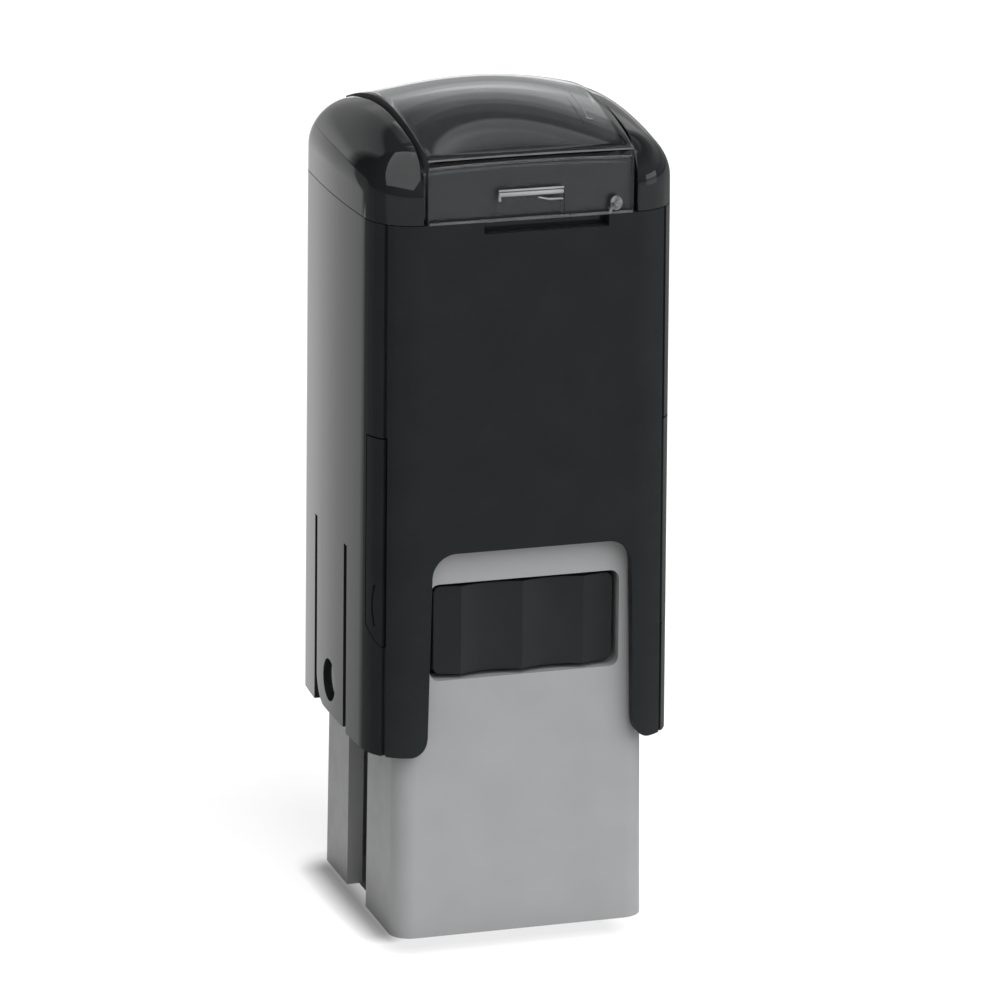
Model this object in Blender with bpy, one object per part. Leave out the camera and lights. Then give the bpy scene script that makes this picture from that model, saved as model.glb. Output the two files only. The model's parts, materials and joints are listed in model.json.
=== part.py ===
"""Self-inking stamp: a square sleeve-shaped cap that slides down over an open-bottomed base frame.

Pressing the cap carries an axle down the slots in the base's sides. The type carrier on that axle makes
half a turn, from facing the ink pad above it to facing the paper below the base.

Metres, +Z up, -Y the front. The origin is the middle of the footprint, on the surface that the base stands on.
"""

import math

import bmesh
import bpy
from mathutils import Matrix, Vector

MM = 0.001
GAP = 0.3 * MM  # clearance that every two separate pieces keep
BEYOND = 3.0 * MM  # how far a cutter runs past the face that it opens

# Axle and motion
AXLE_Y = 0.4 * MM  # the axle stands a little behind the middle, which leaves the swing its room in front
AXLE_Z = 19.5 * MM
DIE_RADIUS = 6.4 * MM  # axle to the face of the text plate
STROKE = 13.0 * MM
CAM_RADIUS = 4.0 * MM  # axle to cam pin

# Cap: half sizes at the reference height, with the moulding draft per metre of height
CAP_HALF = Vector((13.0 * MM, 12.175 * MM))
CAP_REFERENCE_Z = 40.0 * MM
CAP_DRAFT = -0.004
CAP_BOTTOM_Z = 16.5 * MM
CAP_TOP_Z = 61.45 * MM
CAP_CORNER = 4.0 * MM
CAP_SIDE_WALL = 1.45 * MM
CAP_FRONT_WALL = 1.05 * MM
CEILING_BOTTOM_Z = 57.0 * MM
CEILING_TOP_Z = 58.4 * MM
CUTOUT_TOP_Z = 33.7 * MM
CUTOUT_HALF_TOP = 8.4 * MM
CUTOUT_FLARE = 0.025  # widening of each side of the cut-out, per metre downwards
CUTOUT_CORNER = 2.0 * MM
TONGUE_HALF = 4.44 * MM  # axle plane to the middle of each slit beside the tongue
TONGUE_SLIT = 0.8 * MM
TONGUE_TOP_Z = 32.7 * MM
TONGUE_CORNER = 2.5 * MM
LEG_CORNER = 1.5 * MM
TONGUE_HOLE_RADIUS = 1.825 * MM
PRY_NOTCH_X = (-4.0 * MM, 6.65 * MM)
PRY_NOTCH_Z = 60.35 * MM
PRY_NOTCH_DEPTH = 0.6 * MM

# Top cover and lens
COVER_BOTTOM_Z = CAP_TOP_Z + GAP
COVER_RIM = 2.3 * MM
COVER_PLUG_BOTTOM_Z = CEILING_TOP_Z + GAP
COVER_HOLLOW_TOP_Z = 64.6 * MM
COVER_WALL = 2.65 * MM
FOLD_Z = 66.9 * MM  # height where the domed top meets the front and rear faces
CROWN = 3.25 * MM  # rise of the dome above the fold, on the centre line
CROWN_FALL = 16.4  # how much of that rise is lost sideways, per metre squared
CROWN_POWER = 1.9
STRAIGHT_SHARE = 0.4  # how much of a domed block's height stays straight below the bend
LENS_HALF_WIDTH = 8.75 * MM
LENS_BOTTOM_Z = 61.5 * MM
LENS_TOP_WALL = 1.05 * MM
LENS_FRONT_WALL = 0.85 * MM
LENS_FOLD_RADIUS = 0.35 * MM
CARD_THICKNESS = 0.25 * MM
CARD_HALF = Vector((8.3 * MM, 9.6 * MM))

# Lock buttons, in the front corners of the cap
LOCK_ANGLE = math.radians(27)  # middle of the button round the corner, from the side face
LOCK_WIDTH = 2.3 * MM
LOCK_END_RADIUS = 0.92 * MM
LOCK_Z = (26.0 * MM, 43.5 * MM)
LOCK_THICKNESS = 1.05 * MM

# Base frame
BASE_HALF = Vector((10.93 * MM, 10.98 * MM))
BASE_DRAFT = -0.0109
BASE_TOP_Z = 34.6 * MM
BASE_CORNER = 1.8 * MM
BASE_SIDE_WALL = 1.35 * MM
BASE_FRONT_WALL = 1.15 * MM
SLOT_HALF = 2.83 * MM
SLOT_END_RADIUS = 2.8 * MM
WINDOW_HALF = 8.2 * MM
WINDOW_Z = (22.5 * MM, 30.7 * MM)
WINDOW_CORNER = 0.8 * MM
RAIL_THICKNESS = 1.3 * MM  # ledge under the window, which the cartridge slides on
DECK_TOP_Z = 32.2 * MM
POST_RADIUS = 3.1 * MM
POST_TOP_Z = 38.0 * MM

# Ink cartridge and pad
CARTRIDGE_HALF = Vector((7.75 * MM, 10.75 * MM))
FLUTE_PITCH = 5.3 * MM
FLUTE_FIRST_X = -8.15 * MM
FLUTE_COUNT = 4
FLUTE_DEPTH = 0.5 * MM
MOUTH_HALF = Vector((6.9 * MM, 8.75 * MM))
PAD_HALF = 6.55 * MM
PAD_GAP = 0.45 * MM  # pad face to text plate, at rest
PAD_FACE_Z = AXLE_Z + DIE_RADIUS + PAD_GAP
PAD_TOP_Z = 29.0 * MM

# Type carrier, cushion and text plate
DIE_HALF = 6.0 * MM
PLATE_HALF = Vector((6.2 * MM, 5.8 * MM))
PLATE_Z = (21.35 * MM, 22.6 * MM)
CHEEK_INNER_X = 5.0 * MM
CHEEK_HALF_DEPTH = 3.0 * MM
CHEEK_BOTTOM_Z = 16.9 * MM
HUB_RADIUS = 2.5 * MM
HUB_END_X = 10.9 * MM
ARM_X = (7.2 * MM, 8.4 * MM)
ARM_HALF_WIDTH = 1.4 * MM
ARM_END_RADIUS = 1.7 * MM
AXLE_PIN_RADIUS = 1.45 * MM
AXLE_PIN_X = (9.2 * MM, 12.65 * MM)
CAM_PIN_RADIUS = 0.7 * MM
CAM_PIN_X = (7.6 * MM, 9.85 * MM)
GROOVE_RADIUS = 1.3 * MM
GROOVE_X = 9.05 * MM
GROOVE_PAST_END = 0.08  # share of the stroke by which the groove runs on past the pin's travel, in the slot
GROOVE_STEPS = 7
CUSHION_HALF = 5.75 * MM
CUSHION_Z = (22.9 * MM, 24.1 * MM)
TEXT_PLATE_BOTTOM_Z = 24.4 * MM
RELIEF = 0.5 * MM
RELIEF_BORDER = 0.9 * MM
RELIEF_BAR_HALF = 0.8 * MM
RELIEF_HOLLOWS = 4

# Spring
SPRING_RADIUS = 4.2 * MM
SPRING_WIRE = 0.45 * MM
SPRING_TURNS = 7
SPRING_END_PITCH = 1.2 * MM
SPRING_TURN_POINTS = 12
BOSS_BOTTOM_Z = 52.3 * MM


def clear_scene():
    for obj in list(bpy.data.objects):
        bpy.data.objects.remove(obj, do_unlink=True)


def new_collection(name):
    collection = bpy.data.collections.new(name)
    bpy.context.scene.collection.children.link(collection)
    return collection


def principled(name, colour, roughness, metallic=0.0, alpha=1.0):
    material = bpy.data.materials.new(name)
    material.use_nodes = True
    shader = material.node_tree.nodes["Principled BSDF"]
    shader.inputs["Base Color"].default_value = (*colour, 1.0)
    shader.inputs["Roughness"].default_value = roughness
    shader.inputs["Metallic"].default_value = metallic
    shader.inputs["Alpha"].default_value = alpha
    return material


def helper(obj):
    """Makes the object a cutter or tool shape: kept in the file, never rendered."""
    for collection in list(obj.users_collection):
        collection.objects.unlink(obj)
    bpy.data.collections["cutters"].objects.link(obj)
    obj.hide_render = True
    obj.display_type = "WIRE"
    return obj


def from_bmesh(name, shape):
    bmesh.ops.recalc_face_normals(shape, faces=shape.faces)
    mesh = bpy.data.meshes.new(name)
    shape.to_mesh(mesh)
    shape.free()
    obj = bpy.data.objects.new(name, mesh)
    bpy.data.collections["self_inking_stamp"].objects.link(obj)
    return obj


def finish(obj, material):
    obj.data.materials.clear()
    obj.data.materials.append(material)
    obj.data.shade_smooth()
    obj.data.set_sharp_from_angle(angle=math.radians(30))
    return obj


def boolean(obj, other, operation, solver="EXACT"):
    modifier = obj.modifiers.new(f"{operation.lower()} {other.name}", "BOOLEAN")
    modifier.operation = operation
    modifier.solver = solver
    modifier.object = helper(other)


def cut(obj, *others, solver="EXACT"):
    for other in others:
        boolean(obj, other, "DIFFERENCE", solver)


def join(obj, *others):
    for other in others:
        boolean(obj, other, "UNION")


def vertical(edge):
    run = edge.verts[1].co - edge.verts[0].co
    return abs(run.z) > 10 * max(abs(run.x), abs(run.y))


def bevel(shape, edges, radius, segments):
    settings = {"segments": segments, "profile": 0.5, "affect": "EDGES", "clamp_overlap": True}
    bmesh.ops.bevel(shape, geom=edges, offset=radius, **settings)


def tapered_shape(half_low, half_high, low_z, high_z, corner, segments=6):
    """A block whose sides lean, with its upright edges rounded."""
    shape = bmesh.new()
    bmesh.ops.create_cube(shape, size=2.0)
    for vert in shape.verts:
        half, z = (half_high, high_z) if vert.co.z > 0 else (half_low, low_z)
        vert.co = (vert.co.x * half[0], vert.co.y * half[1], z)
    if corner:
        bevel(shape, [edge for edge in shape.edges if vertical(edge)], corner, segments)
    return shape


def block(name, low, high, round_axis=None, radius=0.0, segments=4):
    """A box between two corners. The edges along round_axis can be rounded."""
    shape = bmesh.new()
    bmesh.ops.create_cube(shape, size=1.0)
    size = Vector(high) - Vector(low)
    middle = (Vector(high) + Vector(low)) / 2
    for vert in shape.verts:
        vert.co = Vector(c * s for c, s in zip(vert.co, size)) + middle
    if round_axis is not None:
        along = [
            edge
            for edge in shape.edges
            if abs(edge.verts[0].co[round_axis] - edge.verts[1].co[round_axis]) > size[round_axis] / 2
        ]
        bevel(shape, along, radius, segments)
    return from_bmesh(name, shape)


def rod(name, radius, start, end, segments=32):
    """A cylinder between two points."""
    start, end = Vector(start), Vector(end)
    turn = (end - start).to_track_quat("Z", "Y").to_matrix().to_4x4()
    shape = bmesh.new()
    bmesh.ops.create_cone(
        shape,
        cap_ends=True,
        segments=segments,
        radius1=radius,
        radius2=radius,
        depth=(end - start).length,
        matrix=Matrix.Translation((start + end) / 2) @ turn,
    )
    return from_bmesh(name, shape)


def cap_half(z):
    lean = CAP_DRAFT * (z - CAP_REFERENCE_Z)
    return CAP_HALF + Vector((lean, lean))


def base_half(z):
    return BASE_HALF + Vector((BASE_DRAFT * z, BASE_DRAFT * z))


def cap_block(name, low_z, high_z, inset, corner):
    inset = Vector(inset)
    shape = tapered_shape(cap_half(low_z) - inset, cap_half(high_z) - inset, low_z, high_z, corner)
    return from_bmesh(name, shape)


def base_block(name, low_z, high_z, inset, corner):
    inset = Vector(inset)
    shape = tapered_shape(base_half(low_z) - inset, base_half(high_z) - inset, low_z, high_z, corner, 4)
    return from_bmesh(name, shape)


def dome_height(x, y):
    """Height of the domed top: a crown across the stamp that falls to a straight fold at the front and rear."""
    along = 1 - min(abs(y) / cap_half(FOLD_Z).y, 1.0) ** CROWN_POWER
    return FOLD_Z + along * (CROWN - CROWN_FALL * x * x)


def slice_grid(shape, half, step_count):
    """Cuts the shape with upright planes, so that its top can bend."""
    for axis in (0, 1):
        for i in range(1, step_count):
            place = Vector((0, 0, 0))
            place[axis] = half[axis] * (2 * i / step_count - 1)
            normal = Vector((0, 0, 0))
            normal[axis] = 1
            whole = shape.verts[:] + shape.edges[:] + shape.faces[:]
            bmesh.ops.bisect_plane(shape, geom=whole, dist=1e-7, plane_co=place, plane_no=normal)


def domed_block(name, half, low_z, drop, corner=0.0, rim=0.0, rim_everywhere=True, step_count=10):
    """A block with a domed top, drop below the outer dome, and its top rim rounded."""
    shape = tapered_shape(half, half, low_z, FOLD_Z, corner, 5)
    if rim:
        top = [e for e in shape.edges if all(v.co.z > FOLD_Z - GAP / 10 for v in e.verts)]
        if not rim_everywhere:
            top = [e for e in top if abs(e.verts[0].co.y - e.verts[1].co.y) < GAP / 10]
        bevel(shape, top, rim, 4)
    slice_grid(shape, half, step_count)
    bend_from = low_z + (FOLD_Z - low_z) * STRAIGHT_SHARE
    for vert in shape.verts:
        if vert.co.z > bend_from:
            share = (vert.co.z - bend_from) / (FOLD_Z - bend_from)
            vert.co.z += share * (dome_height(vert.co.x, vert.co.y) - drop - FOLD_Z)
    return from_bmesh(name, shape)


def about_axle(name, low, high):
    """A block given by its corners in X and Z, and in Y measured from the axle."""
    return block(name, (low[0], AXLE_Y + low[1], low[2]), (high[0], AXLE_Y + high[1], high[2]))


def along_x(x_range, side):
    """A range of X on the left (-1) or right (1) side, low end first."""
    return sorted((side * x_range[0], side * x_range[1]))


def make_base_frame(material):
    frame = base_block("base_frame", 0.0, BASE_TOP_Z, (0, 0), BASE_CORNER)
    walls = (BASE_SIDE_WALL, BASE_FRONT_WALL)
    cut(frame, base_block("frame_hollow", -BEYOND, WINDOW_Z[0] - RAIL_THICKNESS, walls, BASE_CORNER / 2))
    window_low = (-WINDOW_HALF, -BASE_HALF.y - BEYOND, WINDOW_Z[0])
    window_high = (WINDOW_HALF, BASE_HALF.y + BEYOND, WINDOW_Z[1])
    cut(frame, block("window_cut", window_low, window_high, 1, WINDOW_CORNER))
    opening = Vector((MOUTH_HALF.x + GAP, MOUTH_HALF.y + GAP / 2))
    opening_low = (-opening.x, -opening.y, WINDOW_Z[0] - RAIL_THICKNESS - GAP)
    cut(frame, about_axle("pad_opening", opening_low, (opening.x, opening.y, WINDOW_Z[0] + GAP)))
    hub_low = (-WINDOW_HALF, -SLOT_HALF, AXLE_Z)
    cut(frame, about_axle("hub_relief", hub_low, (WINDOW_HALF, SLOT_HALF, WINDOW_Z[0] + GAP)))
    cut(frame, base_block("deck_pocket", DECK_TOP_Z, BASE_TOP_Z + BEYOND, walls, BASE_CORNER / 2))
    post_foot = (0, AXLE_Y, DECK_TOP_Z - 2 * GAP)
    join(frame, rod("spring_post", POST_RADIUS, post_foot, (0, AXLE_Y, POST_TOP_Z)))
    for side, label in ((-1, "left"), (1, "right")):
        groove_down = make_cam_groove(f"cam_groove_down_{label}", side * GROOVE_X, -GROOVE_PAST_END, 0.5)
        groove_up = make_cam_groove(f"cam_groove_up_{label}", side * GROOVE_X, 1 + GROOVE_PAST_END, 0.5)
        cut(frame, groove_down, groove_up)
        reach = along_x((CHEEK_INNER_X, BASE_HALF.x + BEYOND), side)
        low = (reach[0], AXLE_Y - SLOT_HALF, -BEYOND - SLOT_HALF)
        high = (reach[1], AXLE_Y + SLOT_HALF, AXLE_Z + SLOT_HALF)
        cut(frame, block(f"slot_{label}", low, high, 0, SLOT_END_RADIUS, 10))
    return finish(frame, material)


def cam_pin_place(travel):
    """Where the cam pin stands after this share of the stroke, in Y and Z."""
    angle = math.pi * travel
    return (
        AXLE_Y + CAM_RADIUS * math.sin(angle),
        AXLE_Z - STROKE * travel - CAM_RADIUS * math.cos(angle),
    )


def curve_to_mesh(obj):
    """Turns a bevelled curve into a closed mesh object of the same name."""
    graph = bpy.context.evaluated_depsgraph_get()
    mesh = bpy.data.meshes.new_from_object(obj.evaluated_get(graph))
    shape = bmesh.new()
    shape.from_mesh(mesh)
    bmesh.ops.remove_doubles(shape, verts=shape.verts, dist=1e-6)
    name = obj.name
    bpy.data.objects.remove(obj, do_unlink=True)
    return from_bmesh(name, shape)


def tube(name, points, radius, resolution=2):
    """A round bar along a list of points."""
    curve = bpy.data.curves.new(name, "CURVE")
    curve.dimensions = "3D"
    curve.bevel_depth = radius
    curve.bevel_resolution = resolution
    curve.use_fill_caps = True
    spline = curve.splines.new("POLY")
    spline.points.add(len(points) - 1)
    for target, point in zip(spline.points, points):
        target.co = (*point, 1.0)
    obj = bpy.data.objects.new(name, curve)
    bpy.data.collections["self_inking_stamp"].objects.link(obj)
    return curve_to_mesh(obj)


def make_cam_groove(name, x, first, last):
    """One leg of the cam pin's track, between two shares of the stroke, run on past its outer end."""
    shares = [first + i * (last - first) / GROOVE_STEPS for i in range(GROOVE_STEPS + 1)]
    points = [(x, *cam_pin_place(share)) for share in shares]
    corner = points[-1]
    points.append((x, corner[1] + GROOVE_RADIUS, corner[2]))
    return tube(name, points, GROOVE_RADIUS, 4)


def make_cap_housing(material):
    housing = cap_block("cap_housing", CAP_BOTTOM_Z, CAP_TOP_Z, (0, 0), CAP_CORNER)
    walls = Vector((CAP_SIDE_WALL, CAP_FRONT_WALL))
    inner_corner = CAP_CORNER - CAP_FRONT_WALL
    cut(
        housing,
        cap_block("cap_hollow", CAP_BOTTOM_Z - BEYOND, CEILING_BOTTOM_Z, walls, inner_corner),
        cap_block("cap_top_pocket", CEILING_TOP_Z, CAP_TOP_Z + BEYOND, walls, inner_corner),
        make_cutout("cutout"),
    )
    top = (0, AXLE_Y, CEILING_TOP_Z - 2 * GAP)
    join(housing, rod("spring_boss", POST_RADIUS, (0, AXLE_Y, BOSS_BOTTOM_Z), top))
    front = -cap_half(CAP_TOP_Z).y
    notch_low = (PRY_NOTCH_X[0], front - BEYOND, PRY_NOTCH_Z)
    notch_high = (PRY_NOTCH_X[1], front + PRY_NOTCH_DEPTH, CAP_TOP_Z + BEYOND)
    cut(housing, block("pry_notch", notch_low, notch_high))
    for side, label in ((-1, "left"), (1, "right")):
        reach = along_x((BASE_HALF.x, CAP_HALF.x + BEYOND), side)
        for half in (-TONGUE_HALF, TONGUE_HALF):
            low = (reach[0], half - TONGUE_SLIT / 2, CAP_BOTTOM_Z - BEYOND)
            high = (reach[1], half + TONGUE_SLIT / 2, TONGUE_TOP_Z)
            cut(housing, about_axle(f"slit_{label}_{'rear' if half > 0 else 'front'}", low, high))
        tongue_corner = (0, AXLE_Y + TONGUE_HALF - TONGUE_SLIT / 2, CAP_BOTTOM_Z)
        tongue_name = f"tongue_corner_{label}"
        cut(housing, corner_rounder(tongue_name, 0, tongue_corner, (-1, 1), TONGUE_CORNER, reach))
        leg_corner = (side * cutout_half(CAP_BOTTOM_Z), 0, CAP_BOTTOM_Z)
        leg_reach = (-CAP_HALF.y - BEYOND, CAP_HALF.y + BEYOND)
        cut(housing, corner_rounder(f"leg_corner_{label}", 1, leg_corner, (side, 1), LEG_CORNER, leg_reach))
        hole_ends = (reach[0], AXLE_Y, AXLE_Z), (reach[1], AXLE_Y, AXLE_Z)
        cut(housing, rod(f"tongue_hole_{label}", TONGUE_HOLE_RADIUS, *hole_ends))
        cut(housing, lock_block(f"lock_window_{label}", side, GAP, CAP_CORNER))
    return finish(housing, material)


def corner_rounder(name, axis, corner, inward, radius, reach):
    """A cutter that rounds one edge: a square bar along the edge, less the rod that the edge should follow.

    inward holds the signs of the two directions from the edge into the material. reach is the bar's two ends.
    """
    others = [i for i in range(3) if i != axis]
    low, high, centre = Vector(), Vector(), Vector()
    low[axis], high[axis] = reach
    for i, sign in zip(others, inward):
        centre[i] = corner[i] + sign * radius
        low[i], high[i] = sorted((corner[i] - sign * TONGUE_SLIT / 2, centre[i]))
    start, end = centre.copy(), centre.copy()
    start[axis], end[axis] = reach[0] - BEYOND, reach[1] + BEYOND
    cutter = block(name, low, high)
    cut(cutter, rod(f"{name}_rod", radius, start, end))
    return cutter


def cutout_half(z):
    return CUTOUT_HALF_TOP + CUTOUT_FLARE * (CUTOUT_TOP_Z - z)


def make_cutout(name):
    """The opening through the front and rear walls, between the legs."""
    shape = bmesh.new()
    bmesh.ops.create_cube(shape, size=2.0)
    reach = CAP_HALF.y + BEYOND
    for vert in shape.verts:
        z = CUTOUT_TOP_Z if vert.co.z > 0 else CAP_BOTTOM_Z - BEYOND
        vert.co = (vert.co.x * cutout_half(z), vert.co.y * reach, z)
    top = [
        edge
        for edge in shape.edges
        if all(v.co.z > CUTOUT_TOP_Z - GAP for v in edge.verts) and edge.calc_length() > reach
    ]
    top = [edge for edge in top if abs(edge.verts[0].co.x - edge.verts[1].co.x) < GAP]
    bevel(shape, top, CUTOUT_CORNER, 5)
    return from_bmesh(name, shape)


def corner_centre(side, z):
    half = cap_half(z)
    return Vector((side * (half.x - CAP_CORNER), -(half.y - CAP_CORNER), 0))


def lock_block(name, side, grow, thickness):
    """The upright bar in a front corner that a lock button fills, grown by a clearance."""
    low_z, high_z = LOCK_Z[0] - grow, LOCK_Z[1] + grow
    outer = CAP_CORNER + 1 * MM
    inner = CAP_CORNER - thickness
    half_width = LOCK_WIDTH / 2 + grow
    radius = LOCK_END_RADIUS + grow
    obj = block(name, (-outer, -half_width, low_z), (-inner, half_width, high_z), 0, radius, 4)
    turn = LOCK_ANGLE if side < 0 else math.pi - LOCK_ANGLE
    middle = corner_centre(side, CAP_REFERENCE_Z)
    obj.matrix_world = Matrix.Translation(middle) @ Matrix.Rotation(turn, 4, "Z")
    return obj


def make_lock_button(side, label, material):
    button = lock_block(f"lock_button_{label}", side, 0.0, LOCK_THICKNESS)
    skin = cap_block(f"lock_skin_{label}", LOCK_Z[0] - BEYOND, LOCK_Z[1] + BEYOND, (0, 0), CAP_CORNER)
    boolean(button, skin, "INTERSECT")
    return finish(button, material)


def make_top_cover(material):
    half = cap_half(COVER_BOTTOM_Z)
    cover = domed_block("top_cover", half, COVER_BOTTOM_Z, 0.0, CAP_CORNER, COVER_RIM)
    channel = LENS_HALF_WIDTH + GAP
    channel_low = (-channel, -half.y - BEYOND, COVER_BOTTOM_Z - BEYOND)
    channel_high = (channel, half.y + BEYOND, FOLD_Z + CROWN + BEYOND)
    cut(cover, block("lens_channel", channel_low, channel_high))
    bed_half = Vector((channel + GAP, half.y - LENS_FRONT_WALL - GAP))
    bed_drop = LENS_TOP_WALL + CARD_THICKNESS + 2 * GAP
    join(cover, domed_block("lens_bed", bed_half, COVER_BOTTOM_Z, bed_drop))
    plug_inset = (CAP_SIDE_WALL + GAP, CAP_FRONT_WALL + GAP)
    plug_top = COVER_BOTTOM_Z + 2 * GAP
    plug_corner = CAP_CORNER - CAP_FRONT_WALL - GAP
    join(cover, cap_block("cover_plug", COVER_PLUG_BOTTOM_Z, plug_top, plug_inset, plug_corner))
    walls = (COVER_WALL, COVER_WALL)
    hollow_low = COVER_PLUG_BOTTOM_Z - BEYOND
    cut(cover, cap_block("cover_hollow", hollow_low, COVER_HOLLOW_TOP_Z, walls, CAP_CORNER / 2))
    return finish(cover, material)


def make_index_lens(material):
    half = Vector((LENS_HALF_WIDTH, cap_half(COVER_BOTTOM_Z).y))
    lens = domed_block("index_lens", half, LENS_BOTTOM_Z, 0.0, 0.0, LENS_FOLD_RADIUS, False)
    inner_half = Vector((LENS_HALF_WIDTH + BEYOND, half.y - LENS_FRONT_WALL))
    cut(lens, domed_block("lens_inside", inner_half, LENS_BOTTOM_Z - BEYOND, LENS_TOP_WALL))
    return finish(lens, material)


def make_index_card(material):
    card = domed_block("index_card", CARD_HALF, COVER_BOTTOM_Z, LENS_TOP_WALL + GAP)
    under_half = CARD_HALF + Vector((BEYOND, BEYOND))
    drop = LENS_TOP_WALL + GAP + CARD_THICKNESS
    cut(card, domed_block("card_underside", under_half, COVER_BOTTOM_Z - BEYOND, drop, step_count=12))
    return finish(card, material)


def make_ink_cartridge(material):
    low_z, high_z = WINDOW_Z[0] + GAP, WINDOW_Z[1] - GAP
    low = (-CARTRIDGE_HALF.x, -CARTRIDGE_HALF.y, low_z)
    high = (CARTRIDGE_HALF.x, CARTRIDGE_HALF.y, high_z)
    cartridge = block("ink_cartridge", low, high, 1, WINDOW_CORNER - GAP / 2, 3)
    scallop = (FLUTE_PITCH**2 / 4 + FLUTE_DEPTH**2) / (2 * FLUTE_DEPTH)
    for end, label in ((-1, "front"), (1, "rear")):
        for i in range(FLUTE_COUNT):
            x = FLUTE_FIRST_X + i * FLUTE_PITCH
            y = end * (CARTRIDGE_HALF.y - FLUTE_DEPTH + scallop)
            flute = rod(f"flute_{label}_{i}", scallop, (x, y, low_z - BEYOND), (x, y, high_z + BEYOND), 72)
            cut(cartridge, flute)
    mouth = MOUTH_HALF
    mouth_low = (-mouth.x, -mouth.y, low_z - BEYOND)
    cut(cartridge, about_axle("cartridge_mouth", mouth_low, (mouth.x, mouth.y, PAD_FACE_Z)))
    pocket_low = (-mouth.x, -mouth.x, PAD_FACE_Z - GAP)
    cut(cartridge, about_axle("pad_pocket", pocket_low, (mouth.x, mouth.x, PAD_TOP_Z + GAP)))
    return finish(cartridge, material)


def make_ink_pad(material):
    pad = about_axle("ink_pad", (-PAD_HALF, -PAD_HALF, PAD_FACE_Z), (PAD_HALF, PAD_HALF, PAD_TOP_Z))
    return finish(pad, material)


def make_type_carrier(material):
    low = (-PLATE_HALF.x, -PLATE_HALF.y, PLATE_Z[0])
    high = (PLATE_HALF.x, PLATE_HALF.y, PLATE_Z[1])
    carrier = about_axle("type_carrier", low, high)
    pin_z = AXLE_Z - CAM_RADIUS
    for side, label in ((-1, "left"), (1, "right")):
        cheek = along_x((CHEEK_INNER_X, PLATE_HALF.x), side)
        hub = along_x((CHEEK_INNER_X, HUB_END_X), side)
        arm = along_x(ARM_X, side)
        low = (cheek[0], -CHEEK_HALF_DEPTH, CHEEK_BOTTOM_Z)
        high = (cheek[1], CHEEK_HALF_DEPTH, PLATE_Z[0] + GAP)
        join(carrier, about_axle(f"cheek_{label}", low, high))
        join(carrier, rod(f"hub_{label}", HUB_RADIUS, (hub[0], AXLE_Y, AXLE_Z), (hub[1], AXLE_Y, AXLE_Z)))
        low = (arm[0], -ARM_HALF_WIDTH, pin_z)
        high = (arm[1], ARM_HALF_WIDTH, AXLE_Z)
        join(carrier, about_axle(f"arm_{label}", low, high))
        arm_ends = (arm[0], AXLE_Y, pin_z), (arm[1], AXLE_Y, pin_z)
        join(carrier, rod(f"arm_end_{label}", ARM_END_RADIUS, *arm_ends, 24))
        bore = along_x((AXLE_PIN_X[0] - GAP, HUB_END_X + BEYOND), side)
        bore_ends = (bore[0], AXLE_Y, AXLE_Z), (bore[1], AXLE_Y, AXLE_Z)
        cut(carrier, rod(f"axle_bore_{label}", AXLE_PIN_RADIUS + GAP, *bore_ends))
        bore = along_x((CAM_PIN_X[0] - GAP, ARM_X[1] + GAP), side)
        bore_ends = (bore[0], AXLE_Y, pin_z), (bore[1], AXLE_Y, pin_z)
        cut(carrier, rod(f"cam_bore_{label}", CAM_PIN_RADIUS + GAP, *bore_ends, 20))
    return finish(carrier, material)


def make_pin(name, radius, x_range, side, z, material, segments):
    x = along_x(x_range, side)
    return finish(rod(name, radius, (x[0], AXLE_Y, z), (x[1], AXLE_Y, z), segments), material)


def make_die_cushion(material):
    low = (-CUSHION_HALF, -CUSHION_HALF, CUSHION_Z[0])
    return finish(about_axle("die_cushion", low, (CUSHION_HALF, CUSHION_HALF, CUSHION_Z[1])), material)


def make_text_plate(material):
    """The rubber plate, with a plain generic relief: a square border round three bars."""
    top_z = AXLE_Z + DIE_RADIUS
    low = (-DIE_HALF, -DIE_HALF, TEXT_PLATE_BOTTOM_Z)
    plate = about_axle("text_plate", low, (DIE_HALF, DIE_HALF, top_z))
    field = DIE_HALF - RELIEF_BORDER
    pitch = 2 * field / (RELIEF_HOLLOWS - 1)
    floor_z = top_z - RELIEF
    for i in range(RELIEF_HOLLOWS):
        middle = -field + i * pitch
        low_y = max(-field, middle - pitch / 2 + RELIEF_BAR_HALF)
        high_y = min(field, middle + pitch / 2 - RELIEF_BAR_HALF)
        cut(plate, about_axle(f"relief_{i}", (-field, low_y, floor_z), (field, high_y, top_z + BEYOND)))
    return finish(plate, material)


def make_spring(material):
    bottom = DECK_TOP_Z + GAP + SPRING_WIRE
    top = CEILING_BOTTOM_Z - GAP - SPRING_WIRE
    open_pitch = (top - bottom - 2 * SPRING_END_PITCH) / (SPRING_TURNS - 2)
    points = []
    z = bottom
    for i in range(SPRING_TURNS * SPRING_TURN_POINTS + 1):
        angle = 2 * math.pi * i / SPRING_TURN_POINTS
        x, y = SPRING_RADIUS * math.cos(angle), AXLE_Y + SPRING_RADIUS * math.sin(angle)
        points.append((x, y, z))
        turn = i / SPRING_TURN_POINTS
        pitch = SPRING_END_PITCH if turn < 1 or turn >= SPRING_TURNS - 1 else open_pitch
        z += pitch / SPRING_TURN_POINTS
    return finish(tube("compression_spring", points, SPRING_WIRE), material)


def pivot(name, place, parent=None):
    """An empty on a joint's axis, which the pieces that move there hang from."""
    empty = bpy.data.objects.new(name, None)
    empty.location = place
    empty.empty_display_size = CAP_CORNER
    bpy.data.collections["self_inking_stamp"].objects.link(empty)
    if parent:
        hang(empty, parent)
    return empty


def hang(obj, parent):
    """Parents an object and leaves it where it is. Pivots are only moved, never turned."""
    place = Vector(parent.location)
    obj.parent = parent
    obj.matrix_parent_inverse = Matrix.Translation(-place)


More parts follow.
